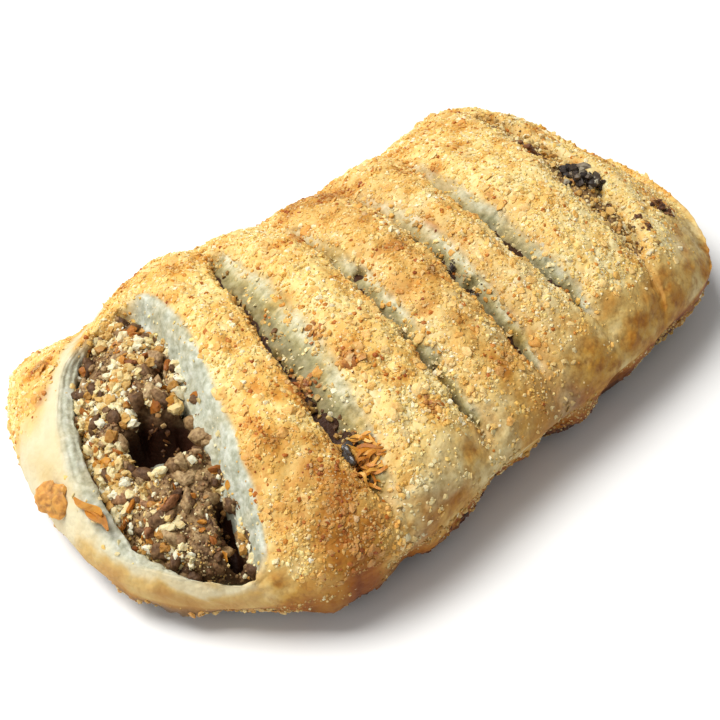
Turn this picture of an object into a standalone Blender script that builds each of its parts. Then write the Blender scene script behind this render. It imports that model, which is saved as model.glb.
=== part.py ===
# A meat pasty: a slashed and crumbed puff-pastry parcel, open at one end, round a minced filling.
# Metres, +Z up. It lies along X with its open mouth at -X and its front at -Y, and rests on z = 0.
import math
import random

import bmesh
import bpy
import numpy as np
from mathutils import Euler, Vector, noise
from mathutils.bvhtree import BVHTree

MM = 0.001

# The parcel's outline and its lengthwise sections
HALF_LENGTH = 75 * MM
HALF_WIDTH = 42 * MM            # nominal, for the places of the cuts
CORNER_ROUNDING = 0.31          # share that the squared half sizes lose at a corner
CORNER_POWER = 2.5
ARCH_POWER = 1.7                # 2 would be an elliptic arch across the parcel
END_POWER = 22                  # how late the top turns down at the two ends
BELLY_HEIGHT = 13.5 * MM        # height of the widest line round the parcel
MOUTH_BELLY = 0.55              # share of it left at the mouth's lip
BELLY_RUN = 30 * MM
TUCK = 0.16                     # share that the base is smaller than the belly line
END_SLANT = 0.006               # share that the back is shorter than the middle
FRONT, BACK, CROWN = 1, 2, 3
SECTIONS = (                    # place along X, half width in front, half width behind, height
    (-75, 35.0, 51.5, 16.0),
    (-62, 40.6, 45.5, 21.9),
    (-52, 44.0, 40.0, 26.5),
    (-42, 45.1, 40.3, 30.2),
    (-30, 45.0, 43.0, 33.0),
    (-8, 42.0, 38.0, 34.0),
    (15, 40.5, 38.0, 34.5),
    (38, 39.5, 41.5, 33.0),
    (58, 38.5, 48.5, 25.5),
    (75, 38.0, 51.0, 11.0),
)

# Cuts: middle, skew, bow, widest half width, how much fuller behind, front end, back end, depth
MOUTH = (-57.2, 0.245, 3.0, 14.6, 0.2, -38.5, 34, 8.0)
SLASHES = (
    (-26.1, 0.17, 0.0, 4.3, -0.2, -38, 33, 6.0),
    (-7.2, 0.06, 0.0, 2.1, 0.0, -39, 31, 5.5),
    (9.8, 0.04, 0.0, 2.6, 0.0, -37, 27, 5.5),
    (23.8, 0.02, 3.0, 2.6, 0.0, -35, 27, 5.5),
)
VENT = (50.5, 0.20, 0.0, 5.6, 0.0, -31, 28, 7.0)
CUTS = (MOUTH, *SLASHES, VENT)
WIDE_MOUTH = 12.3 * MM          # half width from which the filling rises in the mouth
NARROWEST_CUT = 1.0 * MM
CUT_POWER = 0.6                 # how slowly a cut narrows toward its ends
MOUTH_POWER = 0.4               # the mouth stays wide longer
# Lines that follow a cut: share of its half width, distance past that, share of fold and of depth
SLASH_SECTION = (
    (-1.0, -4.0, 0.3, 0.0),
    (-1.0, -0.8, 0.8, 0.0),
    (-0.8, 0.0, 1.0, 1.0),
    (-0.4, 0.0, 1.0, 0.35),
    (0.65, 0.0, 1.0, 0.25),
    (1.0, 0.7, 0.8, 0.0),
    (1.0, 4.0, 0.3, 0.0),
)
OPENING_SECTION = (
    (-1.0, -0.8, 0.0, 0.02),
    (-1.0, 0.0, 0.0, 0.06),
    (-0.76, 0.0, 0.0, 0.36),
    (-0.66, 0.0, 0.0, 1.0),
    (0.0, 0.0, 0.0, 1.0),
    (0.63, 0.0, 0.0, 1.0),
    (1.0, 0.6, 0.2, 0.0),
    (1.0, 3.5, 0.0, 0.0),
)
FOLD_DEPTH = 1.6 * MM           # dip of the lid along each cut, past its ends too
CREASE_DEPTH = 1.0 * MM         # the same dip where it runs down the walls
CREASE_WIDTH = 3.5 * MM
WALL_BULGE = 0.4 * MM           # how far the walls swell out between belly line and base
LIP_LINES = (0.0, 0.08, 0.3, 0.68)
FAR_LINES = (0.3, 0.6, 0.8, 0.92, 0.98, 1.0)
STRIP_LINES = (1, 2, 2, 1, 3)   # extra lines on each strip between two cuts
ROWS = 27                       # rows of points from front to back
WALL_STEPS = (0.3, 0.6, 0.85, 1.0)

# Pastry, hollow and filling
WALL = 4.6 * MM
LID = 5.2 * MM
FLOOR = 3.0 * MM
GAP = 0.3 * MM
CORE_ROWS = 15
CORE_STEPS = (0.5, 0.85, 1.0)
MOUTH_LINES = 11                # lines of the filling across the mouth
BODY_LINES = 16                 # and along the rest
FILLING_SWELL = 2.2 * MM        # how far the filling rises in the mouth
FILLING_RELIEF = 1.5 * MM       # depth of the hollows between lumps of mince
PITS = (                        # hollows in the filling: x, y, length, width, depth, turn
    (-53.5, -3.0, 5.6, 4.6, 9.0, 20),
    (-53.0, -22.5, 6.0, 2.2, 6.0, 115),
    (-46.5, 8.0, 2.4, 1.8, 3.5, 0),
)

# The pinched corner in front of the mouth
PINCH = (-50, -39)
PINCH_REACH = 7 * MM
PINCH_SIZE = 1.4 * MM

# Loose bits: crumbs baked on the lid, lumps and crumbs on the filling
SEED = 7
CRUMB_COUNT = 100
CRUMB_SIZE = (0.9, 1.5)
LUMP_COUNT = 36
LUMP_SIZE = (1.0, 2.3)
FLAKES = (                      # toasted flakes: x, y, three half sizes, turn
    (-73.0, 6.5, 4.2, 2.6, 1.3, 150),
    (-31.0, -30.5, 3.6, 1.6, 1.1, 75),
    (-24.6, 2.0, 2.6, 1.5, 0.9, 100),
    (58.5, 5.0, 3.2, 2.0, 1.3, 80),
    (61.0, 16.0, 2.4, 1.8, 1.1, 60),
    (-60.0, 30.5, 2.6, 1.8, 1.1, 30),
)


def along(column, x):
    # Smooth curve through one column of SECTIONS
    places = np.array([row[0] for row in SECTIONS]) * MM
    values = np.array([row[column] for row in SECTIONS]) * MM
    slopes = np.gradient(values, places)
    i = np.clip(np.searchsorted(places, x, side="right") - 1, 0, len(places) - 2)
    span = places[i + 1] - places[i]
    t = np.clip((x - places[i]) / span, 0, 1)
    start = (1 + 2 * t) * (1 - t) ** 2 * values[i] + t * (1 - t) ** 2 * span * slopes[i]
    end = t * t * (3 - 2 * t) * values[i + 1] + t * t * (t - 1) * span * slopes[i + 1]
    return start + end


def belly_height(x):
    risen = np.clip((x + HALF_LENGTH) / BELLY_RUN, 0, 1)
    return BELLY_HEIGHT * (MOUTH_BELLY + (1 - MOUTH_BELLY) * risen)


def parcel_top(x, across, inset=0.0, lid=0.0):
    # The smooth top: x runs along the parcel and across runs from -1 in front to 1 behind
    reach = np.clip(np.abs(x) / (HALF_LENGTH - inset), 0, 1)
    side = np.abs(across)
    squeeze_x = 1 - np.sqrt(1 - CORNER_ROUNDING * side ** CORNER_POWER)
    squeeze_y = np.sqrt(1 - CORNER_ROUNDING * reach ** CORNER_POWER)
    half = np.where(across > 0, along(BACK, x), along(FRONT, x)) - inset
    arch = np.sqrt(np.clip(1 - side ** ARCH_POWER, 0, 1)) * np.sqrt(1 - reach ** END_POWER)
    belly = belly_height(x)
    height = belly + np.maximum(along(CROWN, x) - lid - belly, -0.2 * belly) * arch
    length = x * (1 - (squeeze_x + END_SLANT * across) * reach ** 3)
    return np.stack([length, half * across * squeeze_y, height], -1)


def cut_shape(cut, y):
    # Middle line, half width and share of depth of a cut at the places y across the parcel
    middle, skew, bow, widest, fuller, front, back, _ = cut
    t = (2 * y / MM - front - back) / (back - front)
    inside = np.clip(1 - t * t, 0, 1)
    line = (middle + bow * t * t) * MM + skew * y
    lens = inside ** (MOUTH_POWER if cut is MOUTH else CUT_POWER)
    half = np.maximum(widest * MM * lens * (1 + fuller * t), NARROWEST_CUT)
    return line, half, np.clip(inside * 3, 0, 1)


def lid_lines(across):
    # Every lengthwise place of the lid's grid, with its share of fold and its depth of cut
    y = across * HALF_WIDTH
    groups = []
    for cut in CUTS:
        section = SLASH_SECTION if cut in SLASHES else OPENING_SECTION
        line, half, share = cut_shape(cut, y)
        groups.append([
            (line + part * half + past * MM, fold, deep * cut[-1] * MM * share)
            for part, past, fold, deep in section
        ])
    lip = groups[0][0][0]
    lines = [(-HALF_LENGTH + part * (lip + HALF_LENGTH), 0.0, 0 * y) for part in LIP_LINES]
    for group, following, extra in zip(groups, groups[1:] + [None], STRIP_LINES + (0,)):
        lines += group
        if following:
            start, end = group[-1][0], following[0][0]
            for i in range(1, extra + 1):
                lines.append((start + (end - start) * i / (extra + 1), 0.0, 0 * y))
    last = groups[-1][-1][0]
    lines += [(last + part * (HALF_LENGTH - last), 0.0, 0 * y) for part in FAR_LINES]
    return lines


def roughness(points, size, amount):
    # Soft uneven relief with lumps of the given size
    flat = points.reshape(-1, 3)
    values = [noise.noise(Vector(point) / size) for point in flat]
    return amount * np.array(values).reshape(points.shape[:-1])


def ring_of(count_x, count_y):
    # Indices round the edge of a grid, one way round
    ring = [(i, 0) for i in range(count_x)]
    ring += [(count_x - 1, j) for j in range(1, count_y)]
    ring += [(i, count_y - 1) for i in range(count_x - 2, -1, -1)]
    ring += [(0, j) for j in range(count_y - 2, 0, -1)]
    return ring


def wall_rows(edge, steps, floor, tuck):
    # Rings below the belly line, tucked in toward the base
    rows = []
    for step in steps:
        row = edge.copy()
        row[:, :2] *= 1 - tuck * step ** 2
        row[:, 2] = floor + (edge[:, 2] - floor) * (1 - step)
        rows.append(row)
    return rows


def closed_body(name, top, rows):
    # A grid for the top, rings for the walls and one flat face for the base
    mesh_data = bmesh.new()
    grid = [[mesh_data.verts.new(point) for point in line] for line in top]
    for i in range(len(grid) - 1):
        for j in range(len(grid[0]) - 1):
            mesh_data.faces.new((grid[i][j], grid[i + 1][j], grid[i + 1][j + 1], grid[i][j + 1]))
    upper = [grid[i][j] for i, j in ring_of(len(grid), len(grid[0]))]
    for row in rows:
        lower = [mesh_data.verts.new(point) for point in row]
        for k in range(len(upper)):
            following = (k + 1) % len(upper)
            mesh_data.faces.new((upper[k], lower[k], lower[following], upper[following]))
        upper = lower
    mesh_data.faces.new(upper)
    bmesh.ops.recalc_face_normals(mesh_data, faces=mesh_data.faces)
    mesh = bpy.data.meshes.new(name)
    mesh_data.to_mesh(mesh)
    mesh_data.free()
    body = bpy.data.objects.new(name, mesh)
    bpy.context.scene.collection.objects.link(body)
    return body


def crease(points):
    # How far the walls are drawn in under the ends of the cuts
    amount = np.zeros(len(points))
    for cut in CUTS[1:]:
        line = cut_shape(cut, points[:, 1])[0]
        amount = np.maximum(amount, np.exp(-((points[:, 0] - line) / CREASE_WIDTH) ** 2))
    return amount * (np.abs(points[:, 1]) > 0.6 * HALF_WIDTH)


def pinch(points):
    # How far the dough is pulled out at the pinched corner
    distance = np.hypot(points[:, 0] - PINCH[0] * MM, points[:, 1] - PINCH[1] * MM)
    return PINCH_SIZE * np.exp(-((distance / PINCH_REACH) ** 2))


def make_case():
    across = np.sin(np.linspace(-math.pi / 2, math.pi / 2, ROWS))
    lines = lid_lines(across)
    x = np.stack([line[0] for line in lines])
    fold = np.stack([line[1] + 0 * across for line in lines])
    depth = np.stack([line[2] for line in lines])
    spread = np.broadcast_to(across, x.shape)
    top = parcel_top(x, spread)
    fold_fade = np.sqrt(1 - np.abs(spread) ** 6)
    top[..., 2] += roughness(top, 9 * MM, 1.1 * MM) * (1 - np.abs(spread) ** 4)
    top[..., 2] -= fold * FOLD_DEPTH * fold_fade + depth
    edge = np.array([top[i, j] for i, j in ring_of(*x.shape)])
    rows = wall_rows(edge, WALL_STEPS, 0.0, TUCK)
    for step, row in zip(WALL_STEPS, rows):
        outward = row[:, :2] / np.linalg.norm(row[:, :2], axis=1, keepdims=True)
        move = pinch(row) - CREASE_DEPTH * crease(row) * (1 - 0.6 * step)
        move += roughness(row, 11 * MM, 1.2 * MM) + WALL_BULGE * math.sin(math.pi * step)
        row[:, :2] += outward * move[:, None]
    return closed_body("crust", top, rows)


def core_grid():
    # The grid shared by the hollow in the pastry and the filling in it
    end = HALF_LENGTH - WALL
    mouth_end = -38 * MM
    x = np.concatenate([
        np.linspace(-end, mouth_end, MOUTH_LINES, endpoint=False),
        np.linspace(mouth_end, end, BODY_LINES),
    ])
    across = np.sin(np.linspace(-math.pi / 2, math.pi / 2, CORE_ROWS))
    return np.meshgrid(x, across, indexing="ij")


def make_hollow():
    x, across = core_grid()
    top = parcel_top(x, across, WALL, LID)
    edge = np.array([top[i, j] for i, j in ring_of(*x.shape)])
    hollow = closed_body("hollow", top, wall_rows(edge, CORE_STEPS, FLOOR, TUCK))
    hollow.hide_render = True
    hollow.display_type = "WIRE"
    return hollow


def mouth_share(points):
    # 1 well inside the mouth, 0 at its edge and beyond it
    line, half, _ = cut_shape(MOUTH, points[..., 1])
    inside = 1 - np.abs(points[..., 0] - line) / half
    return np.clip((inside - 0.56) * 3, 0, 1) * np.clip((half - WIDE_MOUTH) / MM, 0, 1)


def pit_depth(points):
    # Depth of the hollows in the filling
    depth = np.zeros(points.shape[:-1])
    for x, y, length, width, deep, turn in PITS:
        angle = math.radians(turn)
        dx = points[..., 0] / MM - x
        dy = points[..., 1] / MM - y
        u = (dx * math.cos(angle) + dy * math.sin(angle)) / length
        v = (dy * math.cos(angle) - dx * math.sin(angle)) / width
        depth = np.maximum(depth, deep * MM * np.exp(-((u * u + v * v) ** 2)))
    return depth


def make_filling():
    x, across = core_grid()
    top = parcel_top(x, across, WALL + GAP, LID + GAP)
    shrink = (HALF_LENGTH - WALL - GAP) / (HALF_LENGTH - WALL)
    top[..., 0] *= shrink
    swell = mouth_share(top)
    lumps = np.abs(roughness(top, 5 * MM, 1.6))
    inside = np.zeros(x.shape)
    inside[1:-1, 1:-1] = 1
    top[..., 2] -= inside * FILLING_RELIEF * np.clip(lumps, 0, 1)
    top[..., 2] += inside * (FILLING_SWELL * swell - pit_depth(top))
    edge = np.array([top[i, j] for i, j in ring_of(*x.shape)])
    return closed_body("filling", top, wall_rows(edge, CORE_STEPS, FLOOR + GAP, TUCK))


def apply_boolean(body, operation, other, solver="EXACT"):
    # Cuts or joins another object, or a whole collection, and keeps the result as plain mesh
    modifier = body.modifiers.new(operation.lower(), "BOOLEAN")
    modifier.operation = operation
    modifier.solver = solver
    if isinstance(other, bpy.types.Collection):
        modifier.operand_type = "COLLECTION"
        modifier.collection = other
    else:
        modifier.object = other
    graph = bpy.context.evaluated_depsgraph_get()
    mesh = bpy.data.meshes.new_from_object(body.evaluated_get(graph))
    body.modifiers.clear()
    body.data = mesh


def keep_largest(body):
    # Drops loose scraps that a cut leaves
    mesh_data = bmesh.new()
    mesh_data.from_mesh(body.data)
    unseen = set(mesh_data.verts)
    pieces = []
    while unseen:
        piece = [unseen.pop()]
        for vert in piece:
            for edge in vert.link_edges:
                other = edge.other_vert(vert)
                if other in unseen:
                    unseen.remove(other)
                    piece.append(other)
        pieces.append(piece)
    pieces.sort(key=len)
    for piece in pieces[:-1]:
        bmesh.ops.delete(mesh_data, geom=piece, context="VERTS")
    mesh_data.to_mesh(body.data)
    mesh_data.free()


def make_bit(collection, place, normal, sizes, turn, rng):
    # One crumb, lump or flake: a rough 20-sided stone lying on a surface and half sunk into it
    mesh_data = bmesh.new()
    bmesh.ops.create_icosphere(mesh_data, subdivisions=1, radius=1.0)
    for vert in mesh_data.verts:
        vert.co *= rng.uniform(0.8, 1.15)
        vert.co = Vector(a * b for a, b in zip(vert.co, sizes))
    mesh = bpy.data.meshes.new("bit")
    mesh_data.to_mesh(mesh)
    mesh_data.free()
    bit = bpy.data.objects.new("bit", mesh)
    tilt = Vector(normal).to_track_quat("Z", "Y")
    lean = Euler((rng.uniform(-0.2, 0.2), rng.uniform(-0.2, 0.2), turn))
    bit.matrix_world = (tilt @ lean.to_quaternion()).to_matrix().to_4x4()
    bit.location = place + 0.15 * sizes[2] * normal
    collection.objects.link(bit)


def cut_distance(x, y):
    # How far a place on the lid is from the nearest cut, negative inside one
    across = np.array([y])
    distances = []
    for cut in CUTS:
        line, half, share = cut_shape(cut, across)
        distances.append(abs(x - line[0]) - half[0] if share[0] > 0 else 1.0)
    return min(distances)


def clear_of_walls(hit, size):
    line, half, _ = cut_shape(MOUTH, np.array([hit.y]))
    return abs(hit.x - line[0]) + size < 0.56 * half[0] and half[0] > WIDE_MOUTH


def clear_of_cuts(hit, size):
    return cut_distance(hit.x, hit.y) > size + 1.2 * MM


def scatter(body, count, sizes, allowed, rng):
    # Bits spread over the upward faces of a body, clear of each other
    surface = BVHTree.FromObject(body, bpy.context.evaluated_depsgraph_get())
    collection = bpy.data.collections.new("bits")
    bpy.context.scene.collection.children.link(collection)
    placed = []
    for _ in range(count * 60):
        if len(placed) == count:
            break
        x = rng.uniform(-HALF_LENGTH, HALF_LENGTH)
        y = rng.uniform(-HALF_WIDTH, HALF_WIDTH)
        size = rng.uniform(*sizes) * MM
        hit, normal, _, _ = surface.ray_cast(Vector((x, y, 0.1)), Vector((0, 0, -1)))
        if hit is None or normal.z < 0.45 or not allowed(hit, size):
            continue
        if any((hit - other).length < size + reach + 0.5 * MM for other, reach in placed):
            continue
        placed.append((hit, size))
        shape = (size, size * rng.uniform(0.7, 1.0), size * rng.uniform(0.6, 0.8))
        make_bit(collection, hit, normal, shape, rng.uniform(0, math.tau), rng)
    return collection


def fuse(body, collection):
    # The exact solver leaves edges shared by four faces here, so the manifold one joins the bits
    apply_boolean(body, "UNION", collection, "MANIFOLD")
    for bit in list(collection.objects):
        bpy.data.objects.remove(bit)
    bpy.data.collections.remove(collection)


def lay_flakes(body, rng):
    # The few large toasted flakes, laid on the pastry from above
    surface = BVHTree.FromObject(body, bpy.context.evaluated_depsgraph_get())
    collection = bpy.data.collections.new("flakes")
    bpy.context.scene.collection.children.link(collection)
    for x, y, length, width, thick, turn in FLAKES:
        hit, normal, _, _ = surface.ray_cast(Vector((x * MM, y * MM, 0.1)), Vector((0, 0, -1)))
        sizes = (length * MM, width * MM, thick * MM)
        make_bit(collection, hit, normal, sizes, math.radians(turn), rng)
    return collection


def centre_on_base(bodies):
    # Moves every body alike so that the middle of the crust's box stands over the origin
    points = np.array([vert.co[:] for vert in bodies[0].data.vertices])
    middle = (points.min(axis=0) + points.max(axis=0)) / 2
    for body in bodies:
        for vert in body.data.vertices:
            vert.co.x -= middle[0]
            vert.co.y -= middle[1]


def paint(body, colour, roughness_value):
    material = bpy.data.materials.new(body.name)
    material.use_nodes = True
    shader = material.node_tree.nodes["Principled BSDF"]
    shader.inputs["Base Color"].default_value = (*colour, 1)
    shader.inputs["Roughness"].default_value = roughness_value
    shader.inputs["Metallic"].default_value = 0
    body.data.materials.clear()
    body.data.materials.append(material)


def main():
    for item in list(bpy.data.objects):
        bpy.data.objects.remove(item)
    rng = random.Random(SEED)

    crust = make_case()
    hollow = make_hollow()
    apply_boolean(crust, "DIFFERENCE", hollow)
    bpy.data.objects.remove(hollow)
    keep_largest(crust)
    on_lid = scatter(crust, CRUMB_COUNT, CRUMB_SIZE, clear_of_cuts, rng)
    fuse(crust, on_lid)
    fuse(crust, lay_flakes(crust, rng))

    filling = make_filling()
    in_mouth = scatter(filling, LUMP_COUNT, LUMP_SIZE, clear_of_walls, rng)
    fuse(filling, in_mouth)

    centre_on_base([crust, filling])
    paint(crust, (0.62, 0.39, 0.16), 0.75)
    paint(filling, (0.19, 0.11, 0.07), 0.6)


main()
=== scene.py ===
# Meat pasty: a slashed, crumbed puff-pastry parcel with an open mouth full of mince.
# The parcel lies along X, mouth at -X, front wall at -Y; all lengths in metres.
import math

import bmesh
import bpy
import numpy as np
from mathutils import Matrix, Vector


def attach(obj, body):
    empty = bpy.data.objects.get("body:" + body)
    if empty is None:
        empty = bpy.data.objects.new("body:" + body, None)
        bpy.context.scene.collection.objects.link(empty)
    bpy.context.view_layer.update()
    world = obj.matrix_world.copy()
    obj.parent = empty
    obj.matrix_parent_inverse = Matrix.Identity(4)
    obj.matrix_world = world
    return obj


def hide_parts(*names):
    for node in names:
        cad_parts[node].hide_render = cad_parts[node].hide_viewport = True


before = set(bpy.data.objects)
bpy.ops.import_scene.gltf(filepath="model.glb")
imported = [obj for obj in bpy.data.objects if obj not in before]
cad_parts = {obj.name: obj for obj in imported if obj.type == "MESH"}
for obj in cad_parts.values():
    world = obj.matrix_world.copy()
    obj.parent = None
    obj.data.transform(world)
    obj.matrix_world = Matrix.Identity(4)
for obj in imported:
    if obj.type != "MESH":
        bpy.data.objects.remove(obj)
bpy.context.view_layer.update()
mm = 0.001

# the parcel as a whole
parcel = {
    "halfLength": 75 * mm,
    "halfWidth": 42 * mm,        # nominal, for the places of the cuts
    "cornerRounding": 0.31,
    "cornerPower": 2.5,
    "archPower": 1.7,
    "endPower": 22,
    "bellyHeight": 13.5 * mm,
    "mouthBelly": 0.55,          # share of the belly's height at the lip
    "bellyRun": 30 * mm,
    "farSag": 0.2,               # share of the belly that the far end may sag below it
    "tuck": 0.16,                # share that the foot is narrower than the rim
    "endSlant": 0.006,           # share that the back is shorter than the middle
    "mouthSlant": 0.018,         # the same at the mouth's end
    # place along X, half width in front, half width behind, height of the crown, in mm
    "sections": np.array([
        (-75, 35.0, 51.5, 16.0), (-62, 40.6, 45.5, 21.9), (-52, 44.0, 40.0, 26.5), (-42, 45.1, 40.3, 30.2),
        (-30, 45.0, 43.0, 33.0), (-8, 42.0, 38.0, 34.0), (15, 40.5, 38.0, 34.5), (38, 39.5, 41.5, 33.0),
        (58, 38.5, 48.5, 25.5), (75, 38.0, 51.0, 11.0),
    ]),
}

# cuts in mm: middle, skew, bow, widest half width, fuller behind, front end, back end, depth;
# calm is the share of the knife's wobble, power how blunt the ends are, steeper how much shallower behind
mouth = {"middle": -57.2, "skew": 0.245, "bow": 3.0, "wide": 14.6, "fuller": 0.2, "ends": (-38.5, 34),
         "depth": 16.0, "calm": 0.4, "power": 0.4}
slashes = [
    {"middle": -26.1, "skew": 0.17, "bow": 0.0, "wide": 4.8, "fuller": -0.2, "ends": (-38, 33),
     "depth": 6.2, "steeper": 0.1},
    {"middle": -7.2, "skew": 0.06, "bow": 0.0, "wide": 2.1, "fuller": -0.2, "ends": (-39, 31),
     "depth": 5.8, "steeper": 0.5},
    {"middle": 9.8, "skew": 0.04, "bow": 0.0, "wide": 2.7, "fuller": -0.1, "ends": (-37, 27),
     "depth": 5.8, "steeper": 0.6},
    {"middle": 23.8, "skew": 0.02, "bow": 3.0, "wide": 2.8, "fuller": -0.1, "ends": (-35, 27),
     "depth": 5.6, "steeper": 0.5},
]
vent = {"middle": 50.5, "skew": 0.20, "bow": 0.0, "wide": 5.6, "fuller": 0.0, "ends": (-31, 33), "depth": 5.2}
cuts = [mouth, *slashes, vent]
knife = {
    "power": 0.6,                # of the lens that a cut opens to
    "leastHalf": 1.0 * mm,       # half width left at a cut's ends
    "fullDepth": 0.33,           # share of 1 - t^2 from which a cut has its whole depth
    "wobble": 0.7 * mm,          # how unevenly the knife ran
}


def report(text):
    print("pasty:", text, flush=True)


def lattice(cell, seed):
    # one fixed number from 0 to 1 for each whole-number corner, by integer hashing
    mixed = (cell * np.array([73856093, 19349663, 83492791])).sum(-1) + seed * 1013904223
    mixed = ((mixed ^ (mixed >> 15)) * 2246822519) & 0xFFFFFFFF
    mixed = ((mixed ^ (mixed >> 13)) * 3266489917) & 0xFFFFFFFF
    return (mixed ^ (mixed >> 16)) / 0xFFFFFFFF


def softNoise(points, size, seed=0):
    # value noise from -1 to 1: corner numbers of cubes of the given size, blended by 3t^2 - 2t^3
    place = points / size
    cell = np.floor(place).astype(np.int64)
    t = place - cell
    t = t * t * (3 - 2 * t)
    total = np.zeros(points.shape[:-1])
    for corner in np.ndindex(2, 2, 2):
        weight = np.prod(np.where(np.array(corner) == 1, t, 1 - t), axis=-1)
        total += weight * lattice(cell + np.array(corner), seed)
    return total * 2 - 1


def pebbles(points, size, seed=0):
    # cobbled relief from 0 to 1: 1 - d^2 over the nearest jittered centre, times that centre's own height
    place = points / size
    cell = np.floor(place).astype(np.int64)
    best = np.full(points.shape[:-1], 9.0)
    tall = np.zeros(points.shape[:-1])
    for step in np.ndindex(3, 3, 3):
        near = cell + np.array(step) - 1
        centre = near + np.stack([lattice(near, seed + k) for k in (1, 2, 3)], -1)
        distance = ((place - centre) ** 2).sum(-1)
        closer = distance < best
        best = np.where(closer, distance, best)
        tall = np.where(closer, lattice(near, seed + 4), tall)
    return np.clip(1 - best, 0, 1) * (0.35 + 0.65 * tall)


def noiseSum(points, layers):
    # several soft noises, each given as height in mm, size in mm and seed
    return sum(height * mm * softNoise(points, size * mm, seed) for height, size, seed in layers)


def smooth(low, high, value):
    # 3t^2 - 2t^3 between two limits, 0 before the first and 1 past the second
    t = np.clip((value - low) / (high - low), 0, 1)
    return t * t * (3 - 2 * t)


def band(limits, value):
    # the same between two limits in mm
    return smooth(limits[0] * mm, limits[1] * mm, value)


def bell(distance, width):
    # exp(-(d / w)^2)
    return np.exp(-(distance / width) ** 2)


def spotDistance(points, x, y, radius):
    # level distance from a spot, in radii; the spot's numbers are in mm
    return np.hypot(points[..., 0] - x * mm, points[..., 1] - y * mm) / (radius * mm)


def gridNormals(points):
    # unit cross product of the two grid directions
    along = np.gradient(points, axis=0)
    across = np.gradient(points, axis=1)
    normal = np.cross(along, across)
    return normal / np.maximum(np.linalg.norm(normal, axis=-1, keepdims=True), 1e-12)


def makeMesh(name, verts, faces, attributes=None, isSmooth=True):
    # arrays straight into a mesh; faces is one array for each number of corners
    mesh = bpy.data.meshes.new(name)
    mesh.vertices.add(len(verts))
    mesh.vertices.foreach_set("co", np.asarray(verts, dtype=np.float32).ravel())
    corners = np.concatenate([np.asarray(group).ravel() for group in faces])
    sizes = np.concatenate([np.full(len(group), np.asarray(group).shape[1]) for group in faces])
    mesh.loops.add(len(corners))
    mesh.loops.foreach_set("vertex_index", corners.astype(np.int32))
    mesh.polygons.add(len(sizes))
    mesh.polygons.foreach_set("loop_start", (np.cumsum(sizes) - sizes).astype(np.int32))
    mesh.polygons.foreach_set("use_smooth", np.full(len(sizes), isSmooth))
    for label, values in (attributes or {}).items():
        layer = mesh.attributes.new(label, "FLOAT", "POINT")
        layer.data.foreach_set("value", np.asarray(values, dtype=np.float32).ravel())
    mesh.update(calc_edges=True)
    mesh.validate()
    piece = bpy.data.objects.new(name, mesh)
    bpy.context.scene.collection.objects.link(piece)
    return piece


def gridFaces(countX, countY):
    # quads of a grid whose points are numbered row by row
    index = np.arange(countX * countY).reshape(countX, countY)
    return np.stack([index[:-1, :-1], index[1:, :-1], index[1:, 1:], index[:-1, 1:]], -1).reshape(-1, 4)


def edgeRing(countX, countY):
    # numbers of the points round the edge of a grid, once round
    index = np.arange(countX * countY).reshape(countX, countY)
    return np.concatenate([index[:, 0], index[-1, 1:], index[-2::-1, -1], index[0, -2:0:-1]])


def closedBody(name, top, rings, attributes):
    # a grid for the top, rings of points for walls and base, and one small face that shuts the base
    countX, countY = top.shape[:2]
    ring = edgeRing(countX, countY)
    verts = [top.reshape(-1, 3)]
    quads = [gridFaces(countX, countY)]
    upper = ring
    total = countX * countY
    for row in rings:
        verts.append(row)
        lower = total + np.arange(len(ring))
        total += len(ring)
        quads.append(np.stack([upper, lower, np.roll(lower, -1), np.roll(upper, -1)], -1))
        upper = lower
    values = {}
    for label, (onTop, onRings) in attributes.items():
        values[label] = np.concatenate([onTop.ravel(), np.asarray(onRings).ravel()])
    return makeMesh(name, np.concatenate(verts), [np.concatenate(quads), upper[None, ::-1]], values)


def along(column, x):
    # cubic through one column of the sections, with slopes by finite differences
    places = parcel["sections"][:, 0] * mm
    values = parcel["sections"][:, column] * mm
    slopes = np.gradient(values, places)
    i = np.clip(np.searchsorted(places, x, side="right") - 1, 0, len(places) - 2)
    span = places[i + 1] - places[i]
    t = np.clip((x - places[i]) / span, 0, 1)
    start = (1 + 2 * t) * (1 - t) ** 2 * values[i] + t * (1 - t) ** 2 * span * slopes[i]
    return start + t * t * (3 - 2 * t) * values[i + 1] + t * t * (t - 1) * span * slopes[i + 1]


def parcelTop(x, across, inset=0.0, lid=0.0):
    # half width times across, and belly + (crown - belly) * sqrt(1 - across^p) * sqrt(1 - reach^q)
    reach = np.clip(np.abs(x) / (parcel["halfLength"] - inset), 0, 1)
    side = np.abs(across)
    squeezeX = 1 - np.sqrt(1 - parcel["cornerRounding"] * side ** parcel["cornerPower"])
    squeezeY = np.sqrt(1 - parcel["cornerRounding"] * reach ** parcel["cornerPower"])
    half = np.where(across > 0, along(2, x), along(1, x)) - inset
    arch = np.sqrt(np.clip(1 - side ** parcel["archPower"], 0, 1)) * np.sqrt(1 - reach ** parcel["endPower"])
    risen = np.clip((x + parcel["halfLength"]) / parcel["bellyRun"], 0, 1)
    belly = parcel["bellyHeight"] * (parcel["mouthBelly"] + (1 - parcel["mouthBelly"]) * risen)
    height = belly + np.maximum(along(3, x) - lid - belly, -parcel["farSag"] * belly) * arch
    slant = np.where(x < 0, parcel["mouthSlant"], parcel["endSlant"])
    length = x * (1 - (squeezeX + slant * across) * reach ** 3)
    return np.stack([length, half * across * squeezeY, height], -1)


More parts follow.
